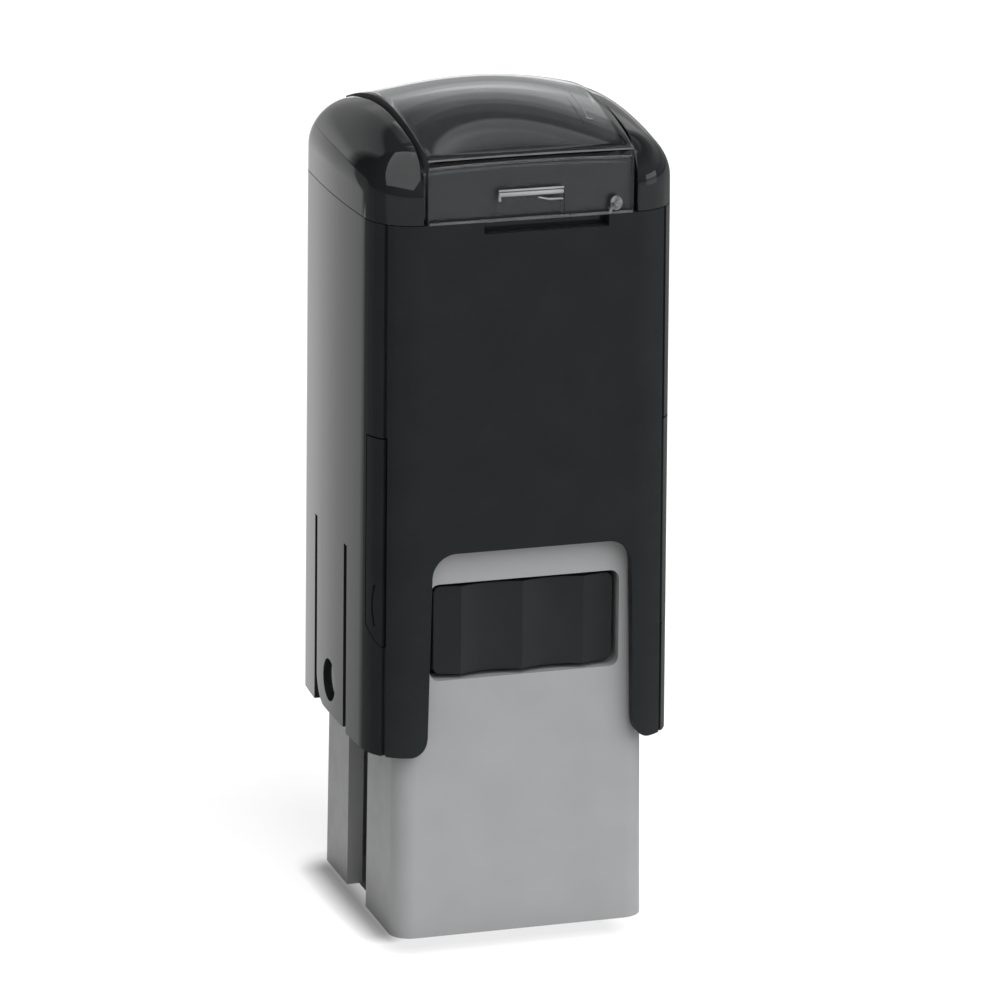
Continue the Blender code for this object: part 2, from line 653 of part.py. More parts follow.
def main():
    clear_scene()
    new_collection("self_inking_stamp")
    new_collection("cutters")
    matte_black = principled("matte_black", (0.02, 0.023, 0.024), 0.5)
    gloss_black = principled("gloss_black", (0.012, 0.013, 0.014), 0.12)
    grey = principled("grey_plastic", (0.39, 0.39, 0.40), 0.5)
    cartridge_black = principled("cartridge_black", (0.02, 0.022, 0.023), 0.35)
    smoky = principled("smoky_clear", (0.25, 0.26, 0.27), 0.05, alpha=0.4)
    card = principled("dark_card", (0.03, 0.03, 0.032), 0.8)
    felt = principled("inked_felt", (0.01, 0.012, 0.03), 0.9)
    carrier = principled("carrier_plastic", (0.05, 0.05, 0.055), 0.45)
    steel = principled("spring_steel", (0.6, 0.6, 0.6), 0.3, 1.0)
    foam = principled("die_foam", (0.75, 0.72, 0.65), 0.9)
    rubber = principled("die_rubber", (0.3, 0.1, 0.09), 0.6)

    make_base_frame(grey)
    make_ink_cartridge(cartridge_black)
    make_ink_pad(felt)
    make_spring(steel)

    cap_slide = pivot("cap_slide_pivot", (0, AXLE_Y, CAP_BOTTOM_Z))
    for piece in (make_cap_housing(matte_black), make_top_cover(gloss_black), make_index_card(card)):
        hang(piece, cap_slide)
    hang(make_index_lens(smoky), pivot("lens_lift_pivot", (0, 0, LENS_BOTTOM_Z), cap_slide))

    flip = pivot("carrier_flip_pivot", (0, AXLE_Y, AXLE_Z), cap_slide)
    for piece in (make_type_carrier(carrier), make_die_cushion(foam), make_text_plate(rubber)):
        hang(piece, flip)
    for side, label in ((-1, "left"), (1, "right")):
        middle = corner_centre(side, CAP_REFERENCE_Z)
        press = pivot(f"lock_press_pivot_{label}", middle, cap_slide)
        hang(make_lock_button(side, label, gloss_black), press)
        axle_pin = make_pin(f"axle_pin_{label}", AXLE_PIN_RADIUS, AXLE_PIN_X, side, AXLE_Z, carrier, 32)
        cam_z = AXLE_Z - CAM_RADIUS
        cam_pin = make_pin(f"cam_pin_{label}", CAM_PIN_RADIUS, CAM_PIN_X, side, cam_z, carrier, 20)
        hang(axle_pin, flip)
        hang(cam_pin, flip)


main()
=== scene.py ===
"""Looks of the self-inking stamp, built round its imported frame.

Metres, +Z up, -Y the front, as in the frame. Each detailed piece stands for one CAD node and rides on that
node's body. Sizes come from the frame's boxes and from the mouldings' own named dimensions below.
"""

import json
import math

import bmesh
import bpy
from mathutils import Matrix, Vector


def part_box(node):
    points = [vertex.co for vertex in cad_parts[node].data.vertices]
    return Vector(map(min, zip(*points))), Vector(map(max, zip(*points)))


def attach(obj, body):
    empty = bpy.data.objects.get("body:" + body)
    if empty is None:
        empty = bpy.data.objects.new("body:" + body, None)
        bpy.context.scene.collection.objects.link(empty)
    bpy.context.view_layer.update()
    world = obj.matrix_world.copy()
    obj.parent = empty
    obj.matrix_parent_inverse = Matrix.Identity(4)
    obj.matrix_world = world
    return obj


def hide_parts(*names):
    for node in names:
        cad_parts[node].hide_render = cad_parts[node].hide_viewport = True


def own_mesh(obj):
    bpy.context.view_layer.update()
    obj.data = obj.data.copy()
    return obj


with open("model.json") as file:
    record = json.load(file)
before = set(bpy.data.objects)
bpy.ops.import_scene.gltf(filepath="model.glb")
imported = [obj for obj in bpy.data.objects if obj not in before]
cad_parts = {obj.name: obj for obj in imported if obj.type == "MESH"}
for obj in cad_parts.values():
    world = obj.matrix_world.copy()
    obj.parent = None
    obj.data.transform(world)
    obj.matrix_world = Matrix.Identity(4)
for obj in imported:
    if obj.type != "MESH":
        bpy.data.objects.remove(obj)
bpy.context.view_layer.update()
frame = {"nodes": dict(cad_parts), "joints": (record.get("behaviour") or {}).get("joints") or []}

MM = 0.001
BEYOND = 3.0 * MM  # how far a cutter runs past the face that it opens
SEAM = 0.12 * MM  # gap between two pieces that meet
PARTING_SEAM = 0.07 * MM  # gap between the cap and its cover
LOW, HIGH = 0, 1


def joint_of(name):
    return next(joint for joint in frame["joints"] if joint["name"] == name)


# Frame boxes
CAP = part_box("cap_housing")
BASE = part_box("base_frame")
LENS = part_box("index_lens")
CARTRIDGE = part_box("ink_cartridge")
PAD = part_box("ink_pad")
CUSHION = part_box("die_cushion")
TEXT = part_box("text_plate")
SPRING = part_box("compression_spring")
AXLE = Vector(joint_of("carrier_flip")["pos_m"])

# Cap mouldings
CAP_DRAFT = -0.004  # change of the half width per unit of height
CAP_CORNER = 3.7 * MM
CAP_GROWTH = 0.07 * MM  # of the cap's width on each side beyond the CAD piece
CAP_BULGE = 0.30 * MM  # how far the left and right sides bow out
CORNER_RADIUS = 3.99 * MM  # of the arc that meets the bowed side without a kink
SIDE_WALL = 1.45 * MM
FRONT_WALL = 1.05 * MM
PARTING_Z = 61.6 * MM
CEILING = (57.0 * MM, 58.4 * MM)
BOSS_Z = (52.3 * MM, CEILING[1] - 0.5 * MM)
CUTOUT_TOP_Z = 33.7 * MM
CUTOUT_HALF = 8.56 * MM  # at its top
CUTOUT_MIDDLE = 0.38 * MM
CUTOUT_FLARE = 0.025  # widening on each side per unit of height downwards
CUTOUT_CORNER = 2.0 * MM
LEG_CORNER = 1.5 * MM
LEG_GROWTH = 0.18 * MM  # of the legs below the CAD piece
TONGUE_HALF = 4.44 * MM
TONGUE_SLIT = 0.8 * MM
TONGUE_TOP_Z = 32.7 * MM
TONGUE_CORNER = 2.5 * MM
TONGUE_LOW_Z = CAP[LOW].z + 0.15 * MM
TONGUE_HOLE = 1.825 * MM
GROOVE_ANGLES = (41.0, 47.0)  # of the groove round a corner, in degrees from the side face
GROOVE_FLANK = 0.9  # degrees over which each side of the groove falls to its floor
GROOVE_DEPTH = 0.30 * MM
COVER_RIM = 3.3 * MM
WING_DROP = 0.10 * MM  # of the wings below the CAD dome
CROWN = 3.25 * MM
CROWN_FALL = 16.4  # per metre: the crown falls by this times the square of X
CROWN_POWER = 1.9  # of the curve from the crown to the front and rear folds
LENS_CROWN = 3.53 * MM
LENS_CROWN_FALL = 17.5
SADDLE_STEPS, SADDLE_SLICES = 32, 40  # of a domed block, along X and Y
FOLD_Z = LENS[HIGH].z - CROWN
LENS_HALF = LENS[HIGH].x
LENS_GAP = 0.36 * MM
LENS_FRONT_WALL = 0.85 * MM
LENS_TOP_WALL = 1.05 * MM
LENS_INNER_FOLD = 0.3 * MM
CARD_HALF = (8.3 * MM, 9.6 * MM)
CARD_THICKNESS = 0.25 * MM
CARD_GAP = 0.12 * MM
LATCH_TOP_Z = 64.15 * MM
LATCH_HALF = 2.8 * MM
NOTCH_X = (-4.0 * MM, 6.65 * MM)
NOTCH_LOW_Z = 60.55 * MM
LOCK_Z = (25.8 * MM, 43.5 * MM)
LOCK_ANGLES = (13.0, 41.0)
LOCK_MIDDLE = sum(LOCK_ANGLES) / 2
LOCK_CHAMFER = 1.7 * MM
LOCK_TRAVEL = max(joint_of("lock_press_left")["range_m"])

# Base mouldings
BASE_DRAFT = -0.0109
BASE_GROWTH = 0.08 * MM  # of the foot beyond the CAD piece
BASE_TOP_Z = 34.6 * MM
BASE_CORNER = 1.8 * MM
BASE_SIDE_WALL = 1.35 * MM
BASE_FRONT_WALL = 1.15 * MM
SLOT_HALF = 2.83 * MM
SLOT_INNER_X = 5.0 * MM
WINDOW_HALF = 8.2 * MM
WINDOW_MIDDLE = 0.2 * MM
WINDOW_Z = (22.38 * MM, 30.7 * MM)
DECK_Z = 32.2 * MM
RAIL = 1.3 * MM
POST_RADIUS = 3.1 * MM
PIN_RADIUS = 1.32 * MM
PIN_X = (9.2 * MM, CAP[HIGH].x - 0.03 * MM)
FLUTE_PITCH = 5.3 * MM
FLUTE_DEPTH = 0.5 * MM
FLUTE_FIRST_X = -8.15 * MM


# ---------------------------------------------------------------- mesh tools


def from_bmesh(name, shape):
    bmesh.ops.recalc_face_normals(shape, faces=shape.faces)
    mesh = bpy.data.meshes.new(name)
    shape.to_mesh(mesh)
    shape.free()
    obj = bpy.data.objects.new(name, mesh)
    bpy.context.scene.collection.objects.link(obj)
    return obj


def apply_modifiers(obj):
    bpy.context.view_layer.update()
    graph = bpy.context.evaluated_depsgraph_get()
    mesh = bpy.data.meshes.new_from_object(obj.evaluated_get(graph), depsgraph=graph)
    obj.modifiers.clear()
    obj.data = mesh
    return obj


def combine(obj, operation, others):
    for other in others:
        modifier = obj.modifiers.new(other.name, "BOOLEAN")
        modifier.operation = operation
        modifier.solver = "EXACT"
        modifier.object = other
    apply_modifiers(obj)
    for other in others:
        bpy.data.objects.remove(other, do_unlink=True)
    return obj


def cut(obj, *others):
    return combine(obj, "DIFFERENCE", others)


def join(obj, *others):
    return combine(obj, "UNION", others)


def keep_inside(obj, *others):
    return combine(obj, "INTERSECT", others)


def soften(obj, width, segments=2, angle=35.0):
    """Rounds the edges a little and weights the normals, so that flat faces stay flat."""
    modifier = obj.modifiers.new("edges", "BEVEL")
    modifier.width = width
    modifier.segments = segments
    modifier.limit_method = "ANGLE"
    modifier.angle_limit = math.radians(angle)
    modifier.use_clamp_overlap = True
    modifier.miter_outer = "MITER_ARC"
    apply_modifiers(obj)
    return smooth(obj)


def smooth(obj, angle=50.0):
    obj.data.shade_smooth()
    obj.data.set_sharp_from_angle(angle=math.radians(angle))
    weighted = obj.modifiers.new("normals", "WEIGHTED_NORMAL")
    weighted.keep_sharp = True
    return obj


def lofted(name, rings):
    """A closed solid through rings of points, one ring above the other."""
    shape = bmesh.new()
    rows = [[shape.verts.new(point) for point in ring] for ring in rings]
    count = len(rings[0])
    for lower, upper in zip(rows, rows[1:]):
        for i in range(count):
            j = (i + 1) % count
            shape.faces.new((lower[i], lower[j], upper[j], upper[i]))
    shape.faces.new(rows[0][::-1])
    shape.faces.new(rows[-1])
    bmesh.ops.remove_doubles(shape, verts=shape.verts, dist=1e-7)
    return from_bmesh(name, shape)


def cube_between(low, high):
    low, high = Vector(low), Vector(high)
    shape = bmesh.new()
    bmesh.ops.create_cube(shape, size=1.0)
    for vert in shape.verts:
        vert.co = Vector(c * s for c, s in zip(vert.co, high - low)) + (high + low) / 2
    return shape


def round_edges(shape, edges, radius, segments):
    settings = {"segments": segments, "profile": 0.5, "affect": "EDGES"}
    bmesh.ops.bevel(shape, geom=edges, offset=radius, **settings)


def edges_along(shape, axis, length):
    """The edges that run further than length along an axis."""
    return [e for e in shape.edges if abs(e.verts[0].co[axis] - e.verts[1].co[axis]) > length]


def block(name, low, high, round_axis=None, radius=0.0, segments=6):
    """A box between two corners. The edges along round_axis can be rounded."""
    shape = cube_between(low, high)
    if round_axis is not None:
        length = Vector(high)[round_axis] - Vector(low)[round_axis]
        round_edges(shape, edges_along(shape, round_axis, length / 2), radius, segments)
    return from_bmesh(name, shape)


def rod(name, radius, start, end, segments=48):
    start, end = Vector(start), Vector(end)
    turn = (end - start).to_track_quat("Z", "Y").to_matrix().to_4x4()
    shape = bmesh.new()
    bmesh.ops.create_cone(
        shape,
        cap_ends=True,
        segments=segments,
        radius1=radius,
        radius2=radius,
        depth=(end - start).length,
        matrix=Matrix.Translation((start + end) / 2) @ turn,
    )
    return from_bmesh(name, shape)


def along_x(x_range, side):
    return sorted((side * x_range[0], side * x_range[1]))


def about_axle(name, low, high, *rounding):
    """A block given by its corners in X and Z, and in Y measured from the axle."""
    low, high = ((x, AXLE.y + y, z) for x, y, z in (low, high))
    return block(name, low, high, *rounding)


def corner_rounder(name, axis, corner, inward, radius, reach):
    """A cutter that rounds one edge: a square bar along the edge, less the rod that the edge follows."""
    others = [i for i in range(3) if i != axis]
    low, high, centre = Vector(), Vector(), Vector()
    low[axis], high[axis] = reach
    for i, sign in zip(others, inward):
        centre[i] = corner[i] + sign * radius
        low[i], high[i] = sorted((corner[i] - sign * TONGUE_SLIT / 2, centre[i]))
    start, end = centre.copy(), centre.copy()
    start[axis], end[axis] = reach[0] - BEYOND, reach[1] + BEYOND
    return cut(block(name, low, high), rod(f"{name}_rod", radius, start, end, 64))


# ---------------------------------------------------------------- outlines


def cap_half(z):
    lean = CAP_DRAFT * (z - CAP[LOW].z)
    return Vector((CAP[HIGH].x + CAP_GROWTH + lean, CAP[HIGH].y + lean))


def base_half(z):
    lean = BASE_GROWTH + BASE_DRAFT * z
    return Vector((BASE[HIGH].x + lean, BASE[HIGH].y + lean))


def quadrant(half, corner, bulge, inset, angles, side_steps, face_steps, depth):
    """Outline points in the first quadrant, from the middle of the +X side to the middle of the +Y side.

    The +X side is an arc that stands bulge proud of its ends, and the corner runs on from it without a kink.
    angles are the corner's, in degrees, and depth says how far the surface lies below its arc at each.
    """
    end_y = half.y - corner
    lean = 2 * math.atan2(bulge, end_y)
    radius = corner / (1 - math.sin(lean))
    centre = Vector((half.x - radius * math.cos(lean), half.y - radius))
    stop_y = half.y - inset
    if inset <= radius:
        stop_y = centre.y + (radius - inset) * math.sin(lean)

    def side_x(y):
        if not bulge:
            return half.x - inset
        side_radius = end_y / math.sin(lean)
        return half.x + bulge - side_radius + math.sqrt((side_radius - inset) ** 2 - y * y)

    points = []
    for i in range(side_steps):
        y = stop_y * i / side_steps
        points.append((side_x(y), y))
    for degrees in angles:
        angle = max(math.radians(degrees), lean)
        reach = radius - inset - depth(degrees)
        if inset <= radius:
            points.append((centre.x + reach * math.cos(angle), centre.y + reach * math.sin(angle)))
        else:
            points.append((side_x(stop_y), stop_y))
    last = points[-1][0]
    for k in range(1, face_steps + 1):
        points.append((last * (1 - k / face_steps), half.y - inset))
    return points


def no_groove(_):
    return 0.0


def even_angles(steps):
    return [90 * i / steps for i in range(steps + 1)]


def outline(
    half, corner, bulge=0.0, inset=0.0, angles=even_angles(14), side_steps=14, face_steps=2, depth=no_groove
):
    """A closed outline, counter-clockwise, that is the same in all four quadrants."""
    part = quadrant(half, corner, bulge, inset, angles, side_steps, face_steps, depth)
    ring = list(part)
    ring += [(-x, y) for x, y in part[-2::-1]]
    ring += [(-x, -y) for x, y in part[1:]]
    ring += [(x, -y) for x, y in part[-2:0:-1]]
    return ring


def prism(name, half_at, low_z, high_z, inset, corner, **settings):
    """An upright solid with the given outline, whose size follows half_at from bottom to top."""
    rings = []
    for z in (low_z, high_z):
        half = half_at(z) - Vector(inset)
        rings.append([(x, y, z) for x, y in outline(half, corner, **settings)])
    return lofted(name, rings)


def dome_height(x, y, crown=CROWN, fall=CROWN_FALL):
    """Height of the domed top: a crown that falls to a straight fold at the front and rear."""
    along = 1 - min(abs(y) / cap_half(FOLD_Z).y, 1.0) ** CROWN_POWER
    return FOLD_Z + along * (crown - fall * x * x)


def lens_height(x, y):
    return dome_height(x, y, LENS_CROWN, LENS_CROWN_FALL)


# ---------------------------------------------------------------- materials


def material(name, colour, roughness, **sockets):
    made = bpy.data.materials.new(name)
    made.use_nodes = True
    shader = made.node_tree.nodes["Principled BSDF"]
    shader.inputs["Base Color"].default_value = (*colour, 1.0)
    shader.inputs["Roughness"].default_value = roughness
    for socket, value in sockets.items():
        shader.inputs[socket.replace("_", " ")].default_value = value
    return made


def node(made, kind, **inputs):
    made_node = made.node_tree.nodes.new(kind)
    for key, value in inputs.items():
        made_node.inputs[key.replace("_", " ")].default_value = value
    return made_node


def link(made, source, target):
    made.node_tree.links.new(source, target)


def noise(made, scale, detail=3.0):
    """A noise pattern fixed to the object, scale features per metre."""
    place = node(made, "ShaderNodeTexCoord")
    pattern = node(made, "ShaderNodeTexNoise", Scale=scale, Detail=detail)
    link(made, place.outputs["Object"], pattern.inputs["Vector"])
    return pattern.outputs["Fac"]


def vary_colour(made, value, low, high):
    """Runs the colour from low to high over the middle of a noise pattern, as vary_roughness does."""
    ramp = node(made, "ShaderNodeValToRGB")
    ramp.color_ramp.elements[0].position = 0.3
    ramp.color_ramp.elements[0].color = (*low, 1.0)
    ramp.color_ramp.elements[1].position = 0.7
    ramp.color_ramp.elements[1].color = (*high, 1.0)
    link(made, value, ramp.inputs["Fac"])
    link(made, ramp.outputs["Color"], made.node_tree.nodes["Principled BSDF"].inputs["Base Color"])


def vary_roughness(made, value, low, high):
    ranged = node(made, "ShaderNodeMapRange", From_Min=0.3, From_Max=0.7, To_Min=low, To_Max=high)
    link(made, value, ranged.inputs["Value"])
    link(made, ranged.outputs["Result"], made.node_tree.nodes["Principled BSDF"].inputs["Roughness"])


def bump(made, value, depth, before=None):
    raised = node(made, "ShaderNodeBump", Strength=1.0, Distance=depth)
    link(made, value, raised.inputs["Height"])
    if before:
        link(made, before, raised.inputs["Normal"])
    return raised.outputs["Normal"]


def moulded(name, colours, roughness, grain=None, waves=0.0, drift=260.0, **sockets):
    """Plastic whose colour drifts a little, with uneven gloss. It can have a fine grain or slow waves."""
    made = material(name, colours[0], sum(roughness) / 2, **sockets)
    vary_colour(made, noise(made, drift, 4.0), *colours)
    vary_roughness(made, noise(made, 700.0, 5.0), *roughness)
    normal = None
    if waves:
        normal = bump(made, noise(made, 110.0, 1.0), waves)
    if grain:
        scale, depth = grain
        normal = bump(made, noise(made, scale, 2.0), depth, normal)
    if normal:
        link(made, normal, made.node_tree.nodes["Principled BSDF"].inputs["Normal"])
    return made


CLEAR_IOR = 1.46


def smoky_clear():
    """Clear smoke-tinted plastic. Lamps shine through it, so that what lies under it is lit."""
    made = material("smoky_clear", (0.55, 0.57, 0.58), 0.02, Transmission_Weight=1.0, IOR=CLEAR_IOR)
    vary_roughness(made, noise(made, 500.0, 3.0), 0.0, 0.03)
    nodes = made.node_tree.nodes
    see_through = node(made, "ShaderNodeBsdfTransparent", Color=(0.62, 0.64, 0.65, 1.0))
    mix = node(made, "ShaderNodeMixShader")
    link(made, node(made, "ShaderNodeLightPath").outputs["Is Shadow Ray"], mix.inputs["Fac"])
    link(made, nodes["Principled BSDF"].outputs["BSDF"], mix.inputs[1])
    link(made, see_through.outputs["BSDF"], mix.inputs[2])
    link(made, mix.outputs["Shader"], nodes["Material Output"].inputs["Surface"])
    return made


def make_materials():
    """Each material's two colours, range of roughness, and grain as features per metre and depth."""
    black = (0.0066, 0.0083, 0.0088), (0.0083, 0.0102, 0.0108)
    gloss = (0.0085, 0.0096, 0.0102), (0.0105, 0.0118, 0.0124)
    grey = (0.212, 0.214, 0.218), (0.226, 0.228, 0.232)
    card = (0.020, 0.021, 0.022), (0.028, 0.029, 0.030)
    felt = (0.004, 0.005, 0.016), (0.010, 0.012, 0.030)
    carrier = (0.030, 0.031, 0.033), (0.040, 0.041, 0.044)
    steel = (0.50, 0.50, 0.51), (0.60, 0.60, 0.60)
    foam = (0.62, 0.58, 0.49), (0.74, 0.70, 0.62)
    rubber = (0.20, 0.052, 0.043), (0.27, 0.075, 0.062)
    # painted highlight: a lighter grey for the lens's folds and bottom rims
    clear = (0.09, 0.092, 0.095), (0.15, 0.153, 0.156)
    # painted highlight: a light grey for the lens's latch lines and flow line
    glint_grey = (0.24, 0.245, 0.25), (0.36, 0.365, 0.37)
    rough = (0.012, 0.0125, 0.013), (0.25, 0.255, 0.26)
    satin, fluted = (3600.0, 0.004 * MM), (4200.0, 0.006 * MM)
    gate = {"grain": (4200.0, 0.10 * MM), "drift": 2600.0, "Transmission_Weight": 0.3, "IOR": CLEAR_IOR}
    polish = {"waves": 0.003 * MM, "Specular_IOR_Level": 0.5}
    edge = {"roughness": (0.10, 0.22), "IOR": CLEAR_IOR}
    return {
        "panel": moulded("matte_black", black, (0.50, 0.60), (5200.0, 0.012 * MM), Specular_IOR_Level=0.27),
        "gloss": moulded("gloss_black", gloss, (0.02, 0.05), **polish),
        "grey": moulded("grey_plastic", grey, (0.42, 0.50), satin, Specular_IOR_Level=0.4),
        "cartridge": moulded("cartridge_black", black, (0.36, 0.46), fluted, Specular_IOR_Level=0.45),
        "card": moulded("dark_card", card, (0.75, 0.85), (2600.0, 0.02 * MM)),
        "felt": moulded("inked_felt", felt, (0.55, 0.90), (1700.0, 0.12 * MM), Sheen_Weight=0.3),
        "carrier": moulded("carrier_plastic", carrier, (0.38, 0.50), satin),
        "steel": moulded("spring_steel", steel, (0.22, 0.36), Metallic=1.0),
        "foam": moulded("die_foam", foam, (0.85, 0.95), (2300.0, 0.10 * MM)),
        "rubber": moulded("die_rubber", rubber, (0.52, 0.66), (2600.0, 0.012 * MM)),
        "clear": smoky_clear(),
        "painted_edge_highlight": moulded("painted_edge_highlight", clear, Transmission_Weight=0.45, **edge),
        "painted_glint": moulded("painted_glint", glint_grey, Transmission_Weight=0.25, **edge),
        "rough_edge": moulded("rough_edge", rough, (0.35, 0.60), **gate),
    }


# ---------------------------------------------------------------- cap


def panel_groove(degrees):
    """Depth of the groove between the glossy side and the grained front, by the angle round the corner."""
    start, end = GROOVE_ANGLES
    return GROOVE_DEPTH * min(max(min(degrees - start, end - degrees) / GROOVE_FLANK, 0.0), 1.0)


def corner_angles():
    start, end = GROOVE_ANGLES
    before = [start * i / 10 for i in range(11)]
    groove = [start + GROOVE_FLANK, (start + end) / 2, end - GROOVE_FLANK, end]
    after = [end + (90 - end) * i / 9 for i in range(1, 10)]
    return before + groove + after


def cap_prism(name, low_z, high_z, grooved=True):
    depth = panel_groove if grooved else no_groove
    settings = {"bulge": CAP_BULGE, "angles": corner_angles(), "depth": depth}
    return prism(name, cap_half, low_z, high_z, (0, 0), CAP_CORNER, **settings)


def paint_cap(obj, materials):
    """Grained panel on the front and rear and gloss on the sides, split at the grooves round the corners."""
    for name in ("panel", "gloss"):
        obj.data.materials.append(materials[name])
    middle = math.radians(sum(GROOVE_ANGLES) / 2)
    for face in obj.data.polygons:
        half = cap_half(face.center.z)
        place = Vector((abs(face.center.x) - half.x, abs(face.center.y) - half.y))
        place += Vector((1, 1)) * CORNER_RADIUS
        upright = abs(face.normal.z) < 0.5
        face.material_index = 1 if upright and math.atan2(place.y, place.x) < middle else 0


def cutout_half(z):
    return CUTOUT_HALF + CUTOUT_FLARE * (CUTOUT_TOP_Z - z)


def make_cutout():
    """The opening through the front and rear walls, between the legs."""
    shape = bmesh.new()
    bmesh.ops.create_cube(shape, size=2.0)
    reach = CAP[HIGH].y + BEYOND
    low_z = CAP[LOW].z - BEYOND
    for vert in shape.verts:
        z = CUTOUT_TOP_Z if vert.co.z > 0 else low_z
        vert.co = (CUTOUT_MIDDLE + vert.co.x * cutout_half(z), vert.co.y * reach, z)
    deep = edges_along(shape, 1, reach)
    top = [edge for edge in deep if all(v.co.z > CUTOUT_TOP_Z - SEAM for v in edge.verts)]
    round_edges(shape, top, CUTOUT_CORNER, 10)
    return from_bmesh("cutout", shape)


def corner_place(side):
    """Centre of the arc round a front corner of the cap."""
    half = cap_half((LOCK_Z[0] + LOCK_Z[1]) / 2)
    return Vector((side * (half.x - CORNER_RADIUS), -(half.y - CORNER_RADIUS), 0))


def to_corner(obj, side):
    """Moves a shape drawn round the Z axis, facing -X, to a front corner and turns it as the lock lies."""
    turn = math.radians(LOCK_MIDDLE if side < 0 else 180 - LOCK_MIDDLE)
    obj.data.transform(Matrix.Translation(corner_place(side)) @ Matrix.Rotation(turn, 4, "Z"))
    return obj


def lock_shape(name, side, grow):
    """The bar in a front corner that a lock fills, grown by a clearance. Its lower rear corner is cut off."""
    half_width = math.radians(LOCK_ANGLES[1] - LOCK_ANGLES[0]) / 2 * CORNER_RADIUS + grow
    low_z, high_z = LOCK_Z[0] - grow, LOCK_Z[1] + grow
    profile = [(half_width, high_z), (half_width, low_z)]
    for share in (0.0, 0.35, 0.75, 1.0):
        profile.append((half_width * (0.9 - 1.9 * share), low_z + LOCK_CHAMFER * share**1.3))
    profile.append((-half_width, high_z))
    outer, inner = CORNER_RADIUS + 1.5 * MM, CORNER_RADIUS - 1.05 * MM - grow * 2
    rings = []
    for x in (-outer, -inner):
        rings.append([(x, side * y, z) for y, z in profile])
    return to_corner(lofted(name, rings), side)


def side_cutters(side, label):
    """Cutters for the tongue with its slits and hole, the leg's corner, and the lock's pocket on one side."""
    reach = along_x((BASE[HIGH].x + SEAM, CAP[HIGH].x + BEYOND), side)
    low_z = CAP[LOW].z - BEYOND
    cutters = []
    for half in (-TONGUE_HALF, TONGUE_HALF):
        low = (reach[0], half - TONGUE_SLIT / 2, low_z)
        high = (reach[1], half + TONGUE_SLIT / 2, TONGUE_TOP_Z)
        cutters.append(about_axle(f"slit_{label}_{half > 0}", low, high))
    below = (reach[0], -TONGUE_HALF, low_z), (reach[1], TONGUE_HALF, TONGUE_LOW_Z)
    cutters.append(about_axle(f"tongue_end_{label}", *below))
    tongue = (0, AXLE.y + TONGUE_HALF - TONGUE_SLIT / 2, TONGUE_LOW_Z)
    cutters.append(corner_rounder(f"tongue_{label}", 0, tongue, (-1, 1), TONGUE_CORNER, reach))
    leg = (CUTOUT_MIDDLE + side * cutout_half(CAP[LOW].z), 0, CAP[LOW].z - LEG_GROWTH)
    leg_reach = (-CAP[HIGH].y - BEYOND, CAP[HIGH].y + BEYOND)
    cutters.append(corner_rounder(f"leg_{label}", 1, leg, (side, 1), LEG_CORNER, leg_reach))
    ends = (reach[0], AXLE.y, AXLE.z), (reach[1], AXLE.y, AXLE.z)
    cutters.append(rod(f"tongue_hole_{label}", TONGUE_HOLE, *ends))
    cutters.append(lock_shape(f"lock_window_{label}", side, SEAM))
    pressed = lock_shape(f"lock_travel_{label}", side, SEAM)
    turn = math.radians(LOCK_MIDDLE)
    inwards = Vector((-side * math.cos(turn), math.sin(turn), 0))
    pressed.data.transform(Matrix.Translation(inwards * LOCK_TRAVEL))
    return [*cutters, pressed]


def make_cap_shell(materials):
    top_z = PARTING_Z - PARTING_SEAM / 2
    shell = cap_prism("cap_shell", CAP[LOW].z - LEG_GROWTH, top_z)
    paint_cap(shell, materials)
    walls = (SIDE_WALL, FRONT_WALL)
    inner = CAP_CORNER - FRONT_WALL
    cut(
        shell,
        prism("cap_hollow", cap_half, CAP[LOW].z - BEYOND, CEILING[0], walls, inner),
        prism("cap_pocket", cap_half, CEILING[1], top_z + BEYOND, walls, inner),
        make_cutout(),
    )
    join(shell, rod("spring_boss", POST_RADIUS, *((0, AXLE.y, z) for z in BOSS_Z)))
    front = -cap_half(top_z).y
    notch_low = (NOTCH_X[0], front - BEYOND, NOTCH_LOW_Z)
    notch_high = (NOTCH_X[1], front + FRONT_WALL + 0.05 * MM, top_z + BEYOND)
    cut(shell, block("pry_notch", notch_low, notch_high))
    for side, label in ((-1, "left"), (1, "right")):
        cut(shell, *side_cutters(side, label))
    return soften(shell, 0.10 * MM)


def make_lock_button(side, label, materials):
    """A glossy lock strip with a fine curved thumb mark."""
    button = cap_prism(f"lock_strip_{label}", LOCK_Z[0] - BEYOND, LOCK_Z[1] + BEYOND, False)
    button.data.materials.append(materials["gloss"])
    keep_inside(button, lock_shape(f"lock_bar_{label}", side, 0.0))
    radius, middle_z, shift = 5.9 * MM, 29.2 * MM, 0.22 * MM
    start, end = -(CORNER_RADIUS - 0.28 * MM), -(CORNER_RADIUS + BEYOND)
    edge = -0.22 * MM

    def disc(name, offset, longer):
        y = side * (edge + radius + offset)
        return rod(name, radius, (start + longer, y, middle_z), (end - longer, y, middle_z), 128)

    crescent = disc(f"thumb_{label}", 0.0, 0.0)
    cut(crescent, disc(f"thumb_inner_{label}", shift, MM))
    reach = 1.8 * MM
    low = (end - MM, -radius, middle_z - reach)
    high = (start + MM, radius, middle_z + reach)
    keep_inside(crescent, block(f"thumb_part_{label}", low, high))
    cut(button, to_corner(crescent, side))
    return soften(button, 0.05 * MM)


